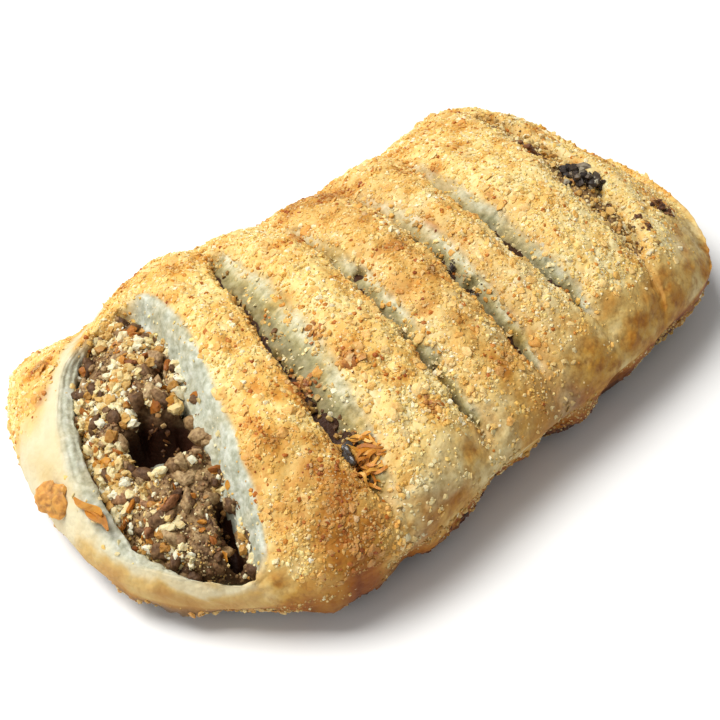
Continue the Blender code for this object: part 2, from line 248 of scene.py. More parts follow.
def cutShape(cut, y):
    # middle line, half width and share of depth: a lens w * (1 - t^2)^power along a bowed, skewed line
    front, back = cut["ends"]
    t = (2 * y / mm - front - back) / (back - front)
    inside = np.clip(1 - t * t, 0, 1)
    line = (cut["middle"] + cut["bow"] * t * t) * mm + cut["skew"] * y
    half = cut["wide"] * mm * inside ** cut.get("power", knife["power"]) * (1 + cut["fuller"] * t)
    return line, np.maximum(half, knife["leastHalf"]), smooth(0, knife["fullDepth"], inside)


case = {
    "rows": 208,                 # rows of points from front to back
    "foldDepth": 2.6 * mm,       # dip of the lid along each cut
    "heaved": ((0.8, 9, 1), (0.4, 4.5, 2)),  # unevenness of the lid: height, size in mm, seed
    "sunken": (69, 13, 9),       # x, y, radius in mm of the soft spot at the far end
    "sunkenDepth": 2.8 * mm,
    "leastHeight": 6.6 * mm,     # keeps the mouth's floor inside the tucked walls
    "reliefFrom": 10 * mm,       # height from which the surface has its whole relief
    # relief: heights with their sizes; three numbers are height, size in mm and seed
    "knobs": (0.75 * mm, 3.4 * mm),
    "coarseCrumb": (0.3 * mm, 1.7 * mm),
    "fineCrumb": (0.2 * mm, 0.9 * mm),
    "coatSink": 0.4 * mm,        # how far the coat is pressed into the dough
    "skin": ((0.3, 2.6, 5), (0.2, 1.2, 6)),
    "skinGrain": (0.12 * mm, 0.9 * mm),
    "lipLayers": (0.22 * mm, 0.9 * mm),
    "paleRise": 0.5 * mm,        # how far the frayed pale dough stands out
}
# lines along a cut: share of half width, mm past it, fold, share of depth, coat, dough, lines to next
slashSection = [
    (-1.0, -4.6, 0.25, 0.00, 1.0, 0.0, 7),
    (-1.0, -1.2, 0.75, 0.00, 1.0, 0.0, 4),
    (-1.0, -0.1, 1.0, 0.12, 0.9, 0.1, 3),
    (-0.88, 0.0, 1.0, 1.00, 0.0, 1.0, 3),
    (-0.76, 0.0, 1.0, 0.80, 0.0, 1.0, 4),
    (-0.48, 0.0, 1.0, 0.40, 0.0, 1.0, 7),
    (0.65, 0.0, 0.95, 0.12, 0.1, 1.0, 4),
    (1.0, 0.5, 0.8, 0.00, 0.9, 0.1, 7),
    (1.0, 4.4, 0.25, 0.00, 1.0, 0.0, 0),
]
mouthSection = [
    (-1.0, -0.9, 0.0, 0.0, 0.0, 0.0, 5),
    (-1.0, 0.0, 0.0, -0.01, 0.0, 0.3, 4),
    (-0.95, 0.0, 0.0, 0.01, 0.0, 0.6, 4),
    (-0.88, 0.0, 0.0, 0.05, 0.0, 0.9, 5),
    (-0.74, 0.0, 0.0, 0.13, 0.0, 0.9, 4),
    (-0.69, 0.0, 0.0, 1.00, 0.0, 1.0, 4),
    (0.0, 0.0, 0.0, 1.00, 0.0, 1.0, 4),
    (0.60, 0.0, 0.0, 1.00, 0.0, 1.0, 4),
    (0.68, 0.0, 0.0, 0.34, 0.0, 1.0, 9),
    (0.97, 0.0, 0.1, 0.03, 0.1, 1.0, 3),
    (1.0, 0.7, 0.2, 0.00, 0.9, 0.1, 4),
    (1.0, 3.5, 0.0, 0.00, 1.0, 0.0, 0),
]
ventSection = [
    (-1.0, -3.0, 0.2, 0.00, 1.0, 0.0, 6),
    (-1.0, 0.0, 0.6, 0.04, 0.9, 0.1, 5),
    (-0.6, 0.0, 0.8, 0.55, 0.6, 0.4, 4),
    (-0.3, 0.0, 0.9, 0.95, 0.3, 0.7, 5),
    (0.2, 0.0, 0.9, 1.00, 0.4, 0.7, 5),
    (0.6, 0.0, 0.8, 0.50, 0.6, 0.4, 5),
    (1.0, 0.5, 0.3, 0.03, 0.9, 0.1, 6),
    (1.0, 3.5, 0.0, 0.00, 1.0, 0.0, 0),
]
# share of the way, and lines to the next: from the near end to the lip, and from the vent to the far end
lipLines = [(0.0, 3), (0.08, 5), (0.3, 6), (0.68, 5)]
farLines = [(0.3, 6), (0.6, 5), (0.8, 4), (0.92, 4), (0.98, 3), (1.0, 1)]
stripLines = [14, 12, 24, 10, 24, 6]  # lines on each strip past a cut
# deeper spots in the cuts, where the filling shows: x, y, radius, depth, in mm
gaps = [
    (-34.3, -28.6, 1.7, 3.0), (-32.2, -20.5, 1.2, 2.6), (-30.5, -9.0, 1.0, 2.0), (-6.0, 0.9, 0.9, 6.5),
    (-4.6, 2.6, 0.5, 5.0), (-8.2, -24.0, 1.2, 1.6), (9.0, -5.5, 1.3, 2.0), (9.4, -14.0, 1.3, 2.0),
    (49.5, 9.0, 2.0, 3.0), (50.4, -2.5, 3.2, 3.0), (50.9, -22.4, 0.7, 2.0),
]


def arcRows(count):
    # rows spread evenly along the middle cross-section: equal arc lengths of the arch
    fine = np.sin(np.linspace(-math.pi / 2, math.pi / 2, 2001))
    arch = parcelTop(np.zeros(len(fine)), fine)[:, 1:]
    length = np.concatenate([[0], np.cumsum(np.linalg.norm(np.diff(arch, axis=0), axis=1))])
    return np.interp(np.linspace(0, length[-1], count), length, fine)


def cutLines(cut, number, y):
    # the lines along one cut: its middle line + part of its half width + mm past it, each with its knife's wobble
    section = mouthSection if cut is mouth else ventSection if cut is vent else slashSection
    line, half, share = cutShape(cut, y)
    spine = np.stack([np.full_like(y, number * 37 * mm), y, np.zeros_like(y)], -1)
    wobble = knife["wobble"] * cut.get("calm", 1.0)
    toBack = (2 * y / mm - sum(cut["ends"])) / (cut["ends"][1] - cut["ends"][0])
    share = share * (1 - cut.get("steeper", 0) * np.clip(toBack, -1, 1))
    line = line + wobble * softNoise(spine, 4.5 * mm, 3)
    half = half + 0.6 * wobble * softNoise(spine, 2.6 * mm, 4)
    return [
        (line + part * half + past * mm, fold + 0 * y, deep * cut["depth"] * mm * share,
         1 - (1 - coat) * np.minimum(share, 1), dough * np.minimum(share, 1), lines)
        for part, past, fold, deep, coat, dough, lines in section
    ]


def caseLines(across):
    # places along X of every line of the case's grid, with fold, depth, coat and dough for each point
    y = across * parcel["halfWidth"]
    groups = [cutLines(cut, number, y) for number, cut in enumerate(cuts)]
    plain = (0 * y, 0 * y, 1 + 0 * y, 0 * y)
    start = -parcel["halfLength"]
    groups[0][0] = (np.maximum(groups[0][0][0], start + 0.3 * mm), *groups[0][0][1:])
    lip = groups[0][0][0]
    keys = [(start + part * (lip - start), *plain, lines) for part, lines in lipLines]
    for group, lines in zip(groups, stripLines):
        keys += group[:-1] + [(*group[-1][:-1], lines)]
    last = groups[-1][-1][0]
    keys += [(last + part * (parcel["halfLength"] - last), *plain, lines) for part, lines in farLines]
    rows = [[] for _ in range(5)]
    for key, following in zip(keys, keys[1:]):
        t = (np.arange(key[5]) / key[5])[:, None]
        eased = t * t * (3 - 2 * t)
        for k in range(5):
            rows[k].append(key[k] + (following[k] - key[k]) * (t if k == 0 else eased))
    for k in range(5):
        rows[k].append(keys[-1][k][None])
    return [np.concatenate(row) for row in rows]


# where the crumb coat lies, all in mm
coating = {
    "frontAt": (-75, -60, -50, -44, -38, -32, -25, -7, 8, 16, 30, 44, 60, 75),
    "front": (-4, -26, -52, -54, -52, -36, -37, -37, -35, -32, -30, -26, -22, -12),  # how far forward it reaches
    "ragged": ((5, 5, 9), (2, 1.8, 19)),     # of that front edge: height, size, seed
    "start": (-7, 3),            # past the front edge, from none to all
    "lipEdge": (4, 1.5),         # past the mouth's outer edge, where the bare lip begins
    "bareEnd": (-60, -66),       # and the near corner in front, bare too, by x and by y
    "bareFront": (-27, -31),
    "lipCoatBack": (19, 28),     # where the lip has its coat again, by y and by place past the edge
    "lipCoatEdge": (-1.5, -4),
    "creepAt": (-26, -7, 10, 24),    # crumbs that slid into the slashes: places along X, shares
    "creep": (0.22, 0.65, 0.5, 0.15),
    "creepDepth": 2.4,           # no deeper than this
}


def coatShares(x, spread, places, depth, coat, dough):
    # coat = reached * (1 - lip) + the lip's own, at least what slid into the cuts;
    # pale = the frayed front edge and the slashes' front ends
    frontLimit = np.interp(x, np.array(coating["frontAt"]) * mm, np.array(coating["front"]) * mm)
    ragged = noiseSum(places, coating["ragged"])
    beyond = places[..., 1] - frontLimit
    reached = band(coating["start"], beyond + ragged)
    line, half, _ = cutShape(mouth, places[..., 1])
    off = np.abs(x - line) / half
    pastEdge = x - (line - half)
    nearCorner = band(coating["bareEnd"], x) * band(coating["bareFront"], places[..., 1])
    lip = np.maximum(band(coating["lipEdge"], pastEdge), nearCorner * (1 - dough))
    lipCoat = band(coating["lipCoatBack"], places[..., 1] + 0.6 * ragged) * band(coating["lipCoatEdge"], pastEdge)
    coat = coat * reached * (1 - lip) + lip * lipCoat
    creep = smooth(0.1, 0.5, softNoise(places, 2.8 * mm, 17) + 0.4 * softNoise(places, 1.1 * mm, 18))
    creep = creep * np.interp(x, np.array(coating["creepAt"]) * mm, coating["creep"])
    shallow = depth < coating["creepDepth"] * mm
    coat = np.maximum(coat, creep * dough * shallow * smooth(0.95, 1.1, off) * reached)
    frill = bell(beyond + 3.5 * mm + 0.4 * ragged, 2.2 * mm) * smooth(-0.3, 0.2, softNoise(places, 7 * mm, 29))
    pale = frill * (1 - lip) * bell(x + 18 * mm, 22 * mm)
    for cut in slashes[:3]:
        beside = bell(places[..., 0] - cutShape(cut, places[..., 1])[0] - 2 * mm, 3.4 * mm)
        broken = 0.5 + 0.5 * softNoise(places, 3 * mm, 27)
        lowDown = smooth(0.74, 0.88, -spread + 0.1 * softNoise(places, 4 * mm, 28))
        pale = np.maximum(pale, 0.8 * broken * beside * lowDown)
    return {"coat": coat * (1 - 0.6 * pale), "lip": lip, "pale": pale, "off": off, "pastEdge": pastEdge,
            "inMouth": smooth(1.1, 0.95, off)}


# caught spots on the lid: x, y, radius in mm
toastSpots = [
    (-31.4, -15.2, 3.2), (-33.5, -14.5, 1.8), (-22.5, -15.7, 2.0), (-23.1, -6.9, 1.5), (-16.4, -30.7, 2.6),
    (-16.6, -24.2, 1.8), (-3.3, -15.4, 2.4), (-21.9, 4.1, 1.8), (26.5, 15.0, 2.4), (36.0, 17.9, 1.8),
    (64.5, -14.1, 2.4), (12.3, -0.2, 2.4), (-10.2, -21.0, 1.8), (0.9, -31.3, 2.0), (48.7, 8.2, 3.2),
    (53.0, 2.0, 3.0), (8.5, -12.0, 1.6), (-38.5, -9.0, 1.6), (-30.0, 28.0, 3.0), (-60.0, 32.0, 2.0),
]


def toastShare(points):
    # how browned the coat is, 0 to 1: patches and spots, deeper toward mouth and back, paler at the front middle
    x, y = points[..., 0], points[..., 1]
    patches = 0.36 + 0.22 * softNoise(points, 9 * mm, 90) + 0.3 * softNoise(points, 3.4 * mm, 91)
    patches = patches + 0.16 * softNoise(points, 1.5 * mm, 93)
    frayed = 1 + 0.5 * softNoise(points, 1.5 * mm, 92)
    for spot in toastSpots:
        patches = patches + 0.5 * np.exp(-spotDistance(points, *spot) ** 2 * frayed)
    slope = 0.08 * band((-20, 35), y) + 0.08 * band((10, -45), x)
    paler = 0.14 * bell(x - 14 * mm, 22 * mm) * bell(y + 18 * mm, 16 * mm)
    lowSide = 0.15 * bell(x + 42 * mm, 8 * mm) * band((-20, -38), y)
    return np.clip(patches + slope + lowSide - paler, 0, 1)


def browningAndShade(x, spread, places, lip):
    # darkening of the top: a broad painted shade across the middle strips round x = 7 mm, real browning low in
    # front and on strip A's low end, less of both on the lip; and where the lip turns under, partly browning,
    # partly painted shade
    lowDown = 0.1 * (spread < 0) * smooth(0.8, 1.0, np.abs(spread))
    # painted shade: the first bell darkens the middle strips round x = 7 mm
    brownAndShade = 0.24 * bell(places[..., 0] - 7 * mm, 13 * mm) + lowDown
    brownAndShade = brownAndShade + 0.4 * bell(places[..., 0] + 42 * mm, 9 * mm) * smooth(0.35, 0.85, -spread)
    underside = np.maximum(band((-71, -75), x), smooth(0.84, 1.0, -spread)) * band((6, -8), places[..., 1])
    return brownAndShade * (1 - 0.8 * lip) - (0.25 - 0.5 * underside) * lip, underside


def relief(x, places, top, dough, shares):
    # height along the normal: cobbled lumps and crumbs on the coat, wrinkled skin elsewhere, torn fibre on dough
    coat, lip, inMouth = shares["coat"], shares["lip"], shares["inMouth"]
    cobbles = [case[name][0] * pebbles(places, case[name][1], seed)
               for name, seed in (("knobs", 10), ("coarseCrumb", 20), ("fineCrumb", 30))]
    crumbs = cobbles[0] + (cobbles[1] + cobbles[2]) - case["coatSink"]
    skin = noiseSum(places, case["skin"]) + case["skinGrain"][0] * pebbles(places, case["skinGrain"][1], 15)
    layers = np.stack([shares["pastEdge"], 0.1 * top[..., 1], 0 * x], -1)
    layered = case["lipLayers"][0] * lip * (1 - inMouth) * softNoise(layers, case["lipLayers"][1], 16)
    skin = skin * (1 - 0.5 * lip) + layered
    fibre = 0.18 * (1 - 0.6 * inMouth) * mm * softNoise(places * [0.35, 1.3, 0.35], 0.9 * mm, 7)
    fibre = fibre + (0.3 - 0.22 * inMouth) * mm * softNoise(places * [1, 0.3, 1], 1.6 * mm, 8)
    fibre = fibre + 0.2 * mm * softNoise(places, 0.7 * mm, 13)
    bare = 1 - coat
    return case["paleRise"] * shares["pale"] + coat * crumbs + bare * skin + dough * bare * fibre


wall = {
    "steps": np.linspace(0, 1, 17)[1:],      # shares of the way down
    "baseScales": (0.97, 0.55, 0.12),        # rings of the flat base, as shares of the foot
    "bulge": 0.5 * mm,
    "creaseDepth": 3.4 * mm,     # pinch below each cut
    "creaseWidth": 3.8 * mm,
    "creaseFrom": 0.6,           # share of the half width past which the wall is pinched
    "wrinkle": 0.45 * mm,
    "wrinkleSize": 4.2 * mm,
    "footFrom": 0.82,            # share of the way down where the cobbled foot starts
    # where the wall stands out or in: x, y, radius, amount outward in mm
    "dents": [
        (-46.5, -39, 5.5, 2.4), (-58, -36, 6, -1.4), (-2, -38, 8, -2.0), (9, -37, 6, -1.0),
        (-74, 24, 9, -1.0), (-74, -4, 9, -1.0), (-65, -32, 6, -1.2),
    ],
}


def wallRings(edge):
    # the rim's ring scaled by 1 - tuck * drop^2 and lowered, moved out by bulge, noise, wrinkles, dents and foot
    outward = edge[:, :2] / np.linalg.norm(edge[:, :2], axis=1, keepdims=True)
    crease = np.zeros(len(edge))
    for cut in cuts[1:]:
        crease = np.maximum(crease, bell(edge[:, 0] - cutShape(cut, edge[:, 1])[0], wall["creaseWidth"]))
    crease *= np.abs(edge[:, 1]) > wall["creaseFrom"] * parcel["halfWidth"]
    rings = []
    for drop in wall["steps"]:
        row = edge.copy()
        row[:, :2] *= 1 - parcel["tuck"] * drop ** 2
        row[:, 2] = edge[:, 2] * (1 - drop)
        ramp = min(1, 3 * drop)
        move = wall["bulge"] * math.sin(math.pi * drop) - ramp * wall["creaseDepth"] * crease * (1 - 0.7 * drop)
        uneven = 0.8 * mm * softNoise(row, 11 * mm, 8) + 0.8 * mm * softNoise(row * [1, 1, 0.6], 5 * mm, 9)
        move = move + ramp * uneven
        wrinkle = 1 - np.abs(softNoise(row * [0.6, 0.6, 1.4], wall["wrinkleSize"], 12)) * 2.2
        fine = wall["wrinkle"] * np.clip(wrinkle, 0, 1) + 0.4 * mm * softNoise(row, 2.2 * mm, 10)
        move = move + ramp * (fine + 0.26 * mm * softNoise(row, 1.1 * mm, 11))
        for dentX, dentY, radius, out in wall["dents"]:
            move = move + out * mm * ramp * np.exp(-spotDistance(row, dentX, dentY, radius) ** 2)
        foot = 1.1 * mm * pebbles(row, 3.2 * mm, 40) + 0.5 * mm * softNoise(row, 1.3 * mm, 41) - 0.4 * mm
        move = move + smooth(wall["footFrom"], 1.0, drop) * foot
        row[:, :2] += outward * move[:, None]
        rings.append(row)
    return rings


def baseRings(foot):
    # the foot's ring drawn in level, step by step
    rings = []
    for scale in wall["baseScales"]:
        row = foot.copy()
        row[:, :2] *= scale
        rings.append(row)
    return rings


def makeCase():
    # the parcel's top less folds and cuts, plus its relief along the normals; walls and base hang from its rim
    across = arcRows(case["rows"])
    x, fold, depth, coat, dough = caseLines(across)
    spread = np.broadcast_to(across, x.shape)
    top = parcelTop(x, spread)
    places = top.copy()
    shares = coatShares(x, spread, places, depth, coat, dough)
    coat, lip, pale, inMouth = (shares[name] for name in ("coat", "lip", "pale", "inMouth"))
    for gapX, gapY, radius, deep in gaps:
        depth = depth + deep * mm * np.exp(-spotDistance(top, gapX, gapY, radius) ** 4) * (dough > 0.3)
    top[..., 2] += noiseSum(places, case["heaved"]) * (1 - np.abs(spread) ** 4)
    top[..., 2] -= fold * case["foldDepth"] * np.sqrt(1 - np.abs(spread) ** 10) + depth
    top[..., 2] -= case["sunkenDepth"] * np.exp(-spotDistance(top, *case["sunken"]) ** 2)
    top[..., 2] = np.maximum(top[..., 2], case["leastHeight"])
    inner = smooth(1.0, 0.985, np.abs(spread)) * smooth(case["leastHeight"], case["reliefFrom"], top[..., 2])
    top += gridNormals(top) * (relief(x, places, top, dough, shares) * inner)[..., None]

    ring = edgeRing(*x.shape)
    edge = top.reshape(-1, 3)[ring]
    rings = wallRings(edge)
    walls = np.stack([edge, *rings])
    rings += baseRings(rings[-1])

    brownAndShade, underside = browningAndShade(x, spread, places, lip)
    toast = toastShare(places)
    flat = np.zeros(len(wall["baseScales"]))
    fade = np.concatenate([1 - wall["steps"], flat])[:, None]     # 1 at the rim, 0 from the foot on
    fallen = np.concatenate([wall["steps"], flat + 1])[:, None]   # the other way round
    nothing = 0 * fade + 0 * edge[:, 0]
    fields = {"coat": coat, "dough": dough, "lip": lip, "pale": pale, "toast": toast, "underside": underside}
    onRing = {name: field.ravel()[ring] for name, field in fields.items()}
    caught = bell(edge[:, 0] + 45 * mm, 9 * mm) * (edge[:, 1] < 0)
    # the walls darken toward the tray, toward the far end and at the near front corner: real browning, made deeper
    # down the walls as painted shade; the lip darkens toward its underside, partly browning, partly painted shade
    lipBrownAndShade = 1.7 * fallen ** 0.95 - 0.85 * fallen - (0.25 - 0.5 * onRing["underside"]) * fade
    wallBrownAndShade = 0.85 * fallen + 0.04 + lipBrownAndShade * onRing["lip"] + 0.36 * band((5, 60), edge[:, 0]) + 0.32 * caught
    wallCoat = onRing["coat"] * np.maximum(smooth(0.5, 1, fade), caught * smooth(0.1, 0.5, fade))
    piece = closedBody("pastryCase", top, rings, {
        "coat": (coat, wallCoat),
        "dough": (dough, onRing["dough"] * fade),
        "brownAndShade": (brownAndShade, wallBrownAndShade),
        "lip": (lip * (1 - coat), onRing["lip"] * (0.2 + 0.8 * fade)),
        "pale": (pale, onRing["pale"] * smooth(0.7, 1, fade)),
        "toast": (toast, onRing["toast"] + 0 * fade),
        # painted shade in the cuts, deeper where the cut is deeper
        "crackShade": (band((0.3, 2.6), depth) * (1 - inMouth), nothing),
        "inner": (np.maximum(inMouth, 0.4 * band((14, 22), x)), nothing),
    })
    return piece, {
        "top": top, "normal": gridNormals(top), "coat": coat, "dough": dough, "fold": fold, "pale": pale,
        "brownAndShade": np.maximum(brownAndShade, 0), "toast": toast, "walls": walls, "lipRing": onRing["lip"],
        "aside": 0.2 + 0.8 * smooth(0.95, 1.1, shares["off"]),   # little in the mouth, 1 elsewhere
    }


def stonePattern(subdivisions):
    # corners and triangles of an octahedron, or of Blender's own icosphere
    if subdivisions == 0:
        corners = np.array([(1, 0, 0), (0, 1, 0), (-1, 0, 0), (0, -1, 0), (0, 0, 1), (0, 0, -1)], dtype=float)
        upper = [(0, 1, 4), (1, 2, 4), (2, 3, 4), (3, 0, 4)]
        return corners, np.array(upper + [(1, 0, 5), (2, 1, 5), (3, 2, 5), (0, 3, 5)])
    pattern = bmesh.new()
    bmesh.ops.create_icosphere(pattern, subdivisions=subdivisions, radius=1.0)
    pattern.verts.ensure_lookup_table()
    corners = np.array([vert.co[:] for vert in pattern.verts])
    faces = np.array([[vert.index for vert in face.verts] for face in pattern.faces])
    pattern.free()
    return corners, faces


def sprinkle(name, places, normals, sizes, kind, seed, extra=None):
    # every stone: a sphere times its own jitter and stretch, turned to its surface's normal and set on it
    rng = np.random.default_rng(seed)
    detail, rough = kind.get("detail", 1), kind.get("rough", 0.28)
    corners, faces = stonePattern(detail)
    count = len(places)
    if detail > 1:
        own = corners[None] + 7.0 * np.arange(count)[:, None, None]
        bumps = softNoise(own, 0.75, seed) + 0.5 * softNoise(own, 0.35, seed + 1)
        local = corners[None] * (1 + rough * bumps[..., None])
    else:
        local = corners[None] * rng.uniform(1 - rough, 1 + rough, (count, len(corners), 1))
    narrow, low, high = kind.get("shape", (0.7, 0.45, 0.8))
    stretch = np.stack([np.ones(count), rng.uniform(narrow, 1, count), rng.uniform(low, high, count)], -1)
    local = local * (stretch * sizes[:, None])[:, None, :]
    up = normals + kind.get("tilt", 0.5) * rng.uniform(-1, 1, (count, 3))
    up /= np.linalg.norm(up, axis=1, keepdims=True)
    side = np.cross(up, rng.normal(size=(count, 3)))
    side /= np.linalg.norm(side, axis=1, keepdims=True)
    turned = local[..., 0:1] * side[:, None] + local[..., 1:2] * np.cross(up, side)[:, None]
    turned = turned + local[..., 2:3] * up[:, None]
    centre = places + normals * (sizes * stretch[:, 2] * (1 - 2 * kind.get("sink", 0.3)))[:, None]
    verts = (centre[:, None] + turned).reshape(-1, 3)
    verts[:, 2] = np.maximum(verts[:, 2], 0.05 * mm)  # nothing sinks into the floor
    triangles = (faces[None] + len(corners) * np.arange(count)[:, None, None]).reshape(-1, 3)
    values = {"tint": np.repeat(rng.random(count), len(corners))}
    for label, field in (extra or {}).items():
        values[label] = np.repeat(field, len(corners))
    return makeMesh(name, verts, [triangles], values, kind.get("smooth", False))


def pickPlaces(points, normals, weight, count, seed):
    # random places on a grid surface, as likely as cell area times weight
    rng = np.random.default_rng(seed)
    edgeX = points[1:, :-1] - points[:-1, :-1]
    edgeY = points[:-1, 1:] - points[:-1, :-1]
    area = np.linalg.norm(np.cross(edgeX, edgeY), axis=-1) * weight[:-1, :-1]
    chance = (area / area.sum()).ravel()
    cell = rng.choice(chance.size, count, p=chance)
    i, j = np.unravel_index(cell, area.shape)
    u, v = rng.random((2, count, 1))
    place = points[i, j] + u * edgeX[i, j] + v * edgeY[i, j]
    return place, normals[i, j], (i, j)


def scatter(name, kind, surface, weight, seed, extra=None):
    # a kind's count of stones, sizes low + (high - low) * random^fewLarge, on places as likely as weight
    points, normals = surface
    places, away, cell = pickPlaces(points, normals, weight, kind["count"], seed)
    low, high = kind["sizes"]
    share = np.random.default_rng(seed + 100).random(kind["count"]) ** kind.get("fewLarge", 1.6)
    fields = {label: field[cell] for label, field in (extra or {}).items()}
    return sprinkle(name, places, away, (low + (high - low) * share) * mm, kind, seed + 200, fields)


mince = {
    "wall": 4.9 * mm,            # how far inside the parcel's form the filling lies: sides, lid, base
    "lid": 5.5 * mm,
    "floor": 3.3 * mm,
    "mouthLines": 118,           # lines of points up to the end of the mouth, and past it
    "bodyLines": 62,
    "mouthEnd": -38 * mm,
    "rows": 150,
    "swell": 2.0 * mm,           # how far the mince rises in the mouth
    "ventSwell": 1.6 * mm,
    "lump": (2.4 * mm, 4.6 * mm),    # lumps and grains of the mince: height and size
    "grain": (0.9 * mm, 1.9 * mm),
    "sink": 1.6 * mm,
    "leastHeight": 7.6 * mm,     # of a hollow's floor, which keeps it inside the tucked sides
    "drops": (0.5, 0.85, 1.0),   # rings of the hidden sides, as shares of the way down
    "stops": [(0.28, "5E4428"), (0.42, "846440"), (0.55, "A28256"), (0.68, "BCA072"), (0.8, "8E5C32")],
}
# hollows in the filling: x, y, length, width, depth in mm, turn in degrees
pits = [
    (-54.9, -1.0, 6.4, 5.4, 13.0, -54), (-55.8, -22.8, 6.0, 1.9, 9.0, 67), (-47.2, 2.2, 2.9, 1.4, 6.0, 85),
    (-46.9, 9.4, 3.0, 1.3, 5.5, 75), (-61.5, 17.5, 2.0, 1.2, 3.0, 0), (-61.8, -8.0, 2.4, 1.3, 2.5, 60),
]


def pitDepth(points):
    # the deepest of the hollows, each d * exp(-(r^2)^2.5) with a ragged edge
    depth = np.zeros(points.shape[:-1])
    ragged = 1 + 0.45 * softNoise(points, 3.1 * mm, 51) + 0.3 * softNoise(points, 1.4 * mm, 52)
    for x, y, length, width, deep, turn in pits:
        angle = math.radians(turn)
        dx, dy = points[..., 0] / mm - x, points[..., 1] / mm - y
        u = (dx * math.cos(angle) + dy * math.sin(angle)) / length
        v = (dy * math.cos(angle) - dx * math.sin(angle)) / width
        depth = np.maximum(depth, deep * mm * np.exp(-((u * u + v * v) * ragged) ** 2.5))
    return depth


def openShare(cut, points, edge):
    # 1 well inside a cut, 0 at its walls: smooth step of 1 - distance from the middle line / half width
    line, half, share = cutShape(cut, points[..., 1])
    return smooth(edge, edge + 0.3, 1 - np.abs(points[..., 0] - line) / half) * share


def makeMince():
    # the parcel's form drawn in by the wall's thickness, cobbled by lumps and grains, less the hollows
    end = parcel["halfLength"] - mince["wall"]
    x = np.concatenate([
        np.linspace(-end, mince["mouthEnd"], mince["mouthLines"], endpoint=False),
        np.linspace(mince["mouthEnd"], end, mince["bodyLines"]),
    ])
    across = np.sin(np.linspace(-math.pi / 2, math.pi / 2, mince["rows"]))
    x, spread = np.meshgrid(x, across, indexing="ij")
    top = parcelTop(x, spread, mince["wall"], mince["lid"])
    places = top.copy()
    swell = mince["swell"] * openShare(mouth, top, 0.3) + mince["ventSwell"] * openShare(vent, top, 0.2)
    inside = np.minimum(smooth(1.0, 0.93, np.abs(spread)), smooth(end, end - 3 * mm, np.abs(x)))
    lumps, grains = (mince[name][0] * pebbles(places, mince[name][1], seed)
                     for name, seed in (("lump", 60), ("grain", 70)))
    fine = 0.25 * mm * softNoise(places, 0.9 * mm, 80)
    pit = pitDepth(places)
    top[..., 2] += inside * (swell + (lumps + grains) - mince["sink"] + fine - pit)
    top[..., 2] = np.where(pit > 0.3 * mm, np.maximum(top[..., 2], mince["leastHeight"]), top[..., 2])
    ring = edgeRing(*x.shape)
    edge = top.reshape(-1, 3)[ring]
    rings = []
    for drop in mince["drops"]:
        row = edge.copy()
        row[:, :2] *= 1 - parcel["tuck"] * drop ** 2
        row[:, 2] = mince["floor"] + (edge[:, 2] - mince["floor"]) * (1 - drop)
        rings.append(row)
    flat = np.zeros(len(edge) * len(rings))
    # painted shade on the mince, stored as pit: darker in the hollows, everywhere under the lid and low in the
    # mouth
    covered = 1 - np.maximum(openShare(mouth, top, 0.1), openShare(vent, top, 0.05))
    paintedLowShade = 0.5 * band((-17, -27), top[..., 1]) * band((-66, -60), top[..., 0]) * openShare(mouth, top, 0.1)
    shade = np.maximum(np.maximum(pit / (8 * mm), 0.62 * covered), paintedLowShade)
    piece = closedBody("minceFilling", top, rings, {"pit": (shade, flat)})
    return piece, {"top": top, "normal": gridNormals(top), "pit": pit}


def hexColour(text):
    # sRGB hex to linear: c / 12.92 below 0.04045, else ((c + 0.055) / 1.055)^2.4
    values = [int(text[i:i + 2], 16) / 255 for i in (0, 2, 4)]
    return (*[c / 12.92 if c <= 0.04045 else ((c + 0.055) / 1.055) ** 2.4 for c in values], 1.0)


def perSize(size):
    # a pattern's scale from the real size of one of its patches or grains in mm
    return 1 / (size * mm)


def addNode(tree, kind, settings=None, inputs=None, stops=None):
    # one node with its settings, its links or values by socket, and its ramp's stops
    node = tree.nodes.new("ShaderNode" + kind)
    for name, value in (settings or {}).items():
        setattr(node, name, value)
    for name, value in (inputs or {}).items():
        if isinstance(value, bpy.types.NodeSocket):
            tree.links.new(value, node.inputs[name])
        else:
            node.inputs[name].default_value = value
    if stops:
        ramp = node.color_ramp
        while len(ramp.elements) < len(stops):
            ramp.elements.new(0.5)
        for element, (place, colour) in zip(ramp.elements, stops):
            element.position = place
            element.color = hexColour(colour)
    return node


def newMaterial(name, roughness, subsurface=0.0, radius=(1.0, 0.6, 0.3), specular=0.4):
    # a plain shader to start from; light goes 1.2 mm into food
    material = bpy.data.materials.new(name)
    material.use_nodes = True
    tree = material.node_tree
    shader = tree.nodes["Principled BSDF"]
    shader.inputs["Roughness"].default_value = roughness
    shader.inputs["Specular IOR Level"].default_value = specular
    shader.inputs["Subsurface Weight"].default_value = subsurface
    shader.inputs["Subsurface Radius"].default_value = radius
    shader.inputs["Subsurface Scale"].default_value = 1.2 * mm
    return material, tree, shader


mixed = {"data_type": "RGBA"}
multiplied = {"data_type": "RGBA", "blend_type": "MULTIPLY"}

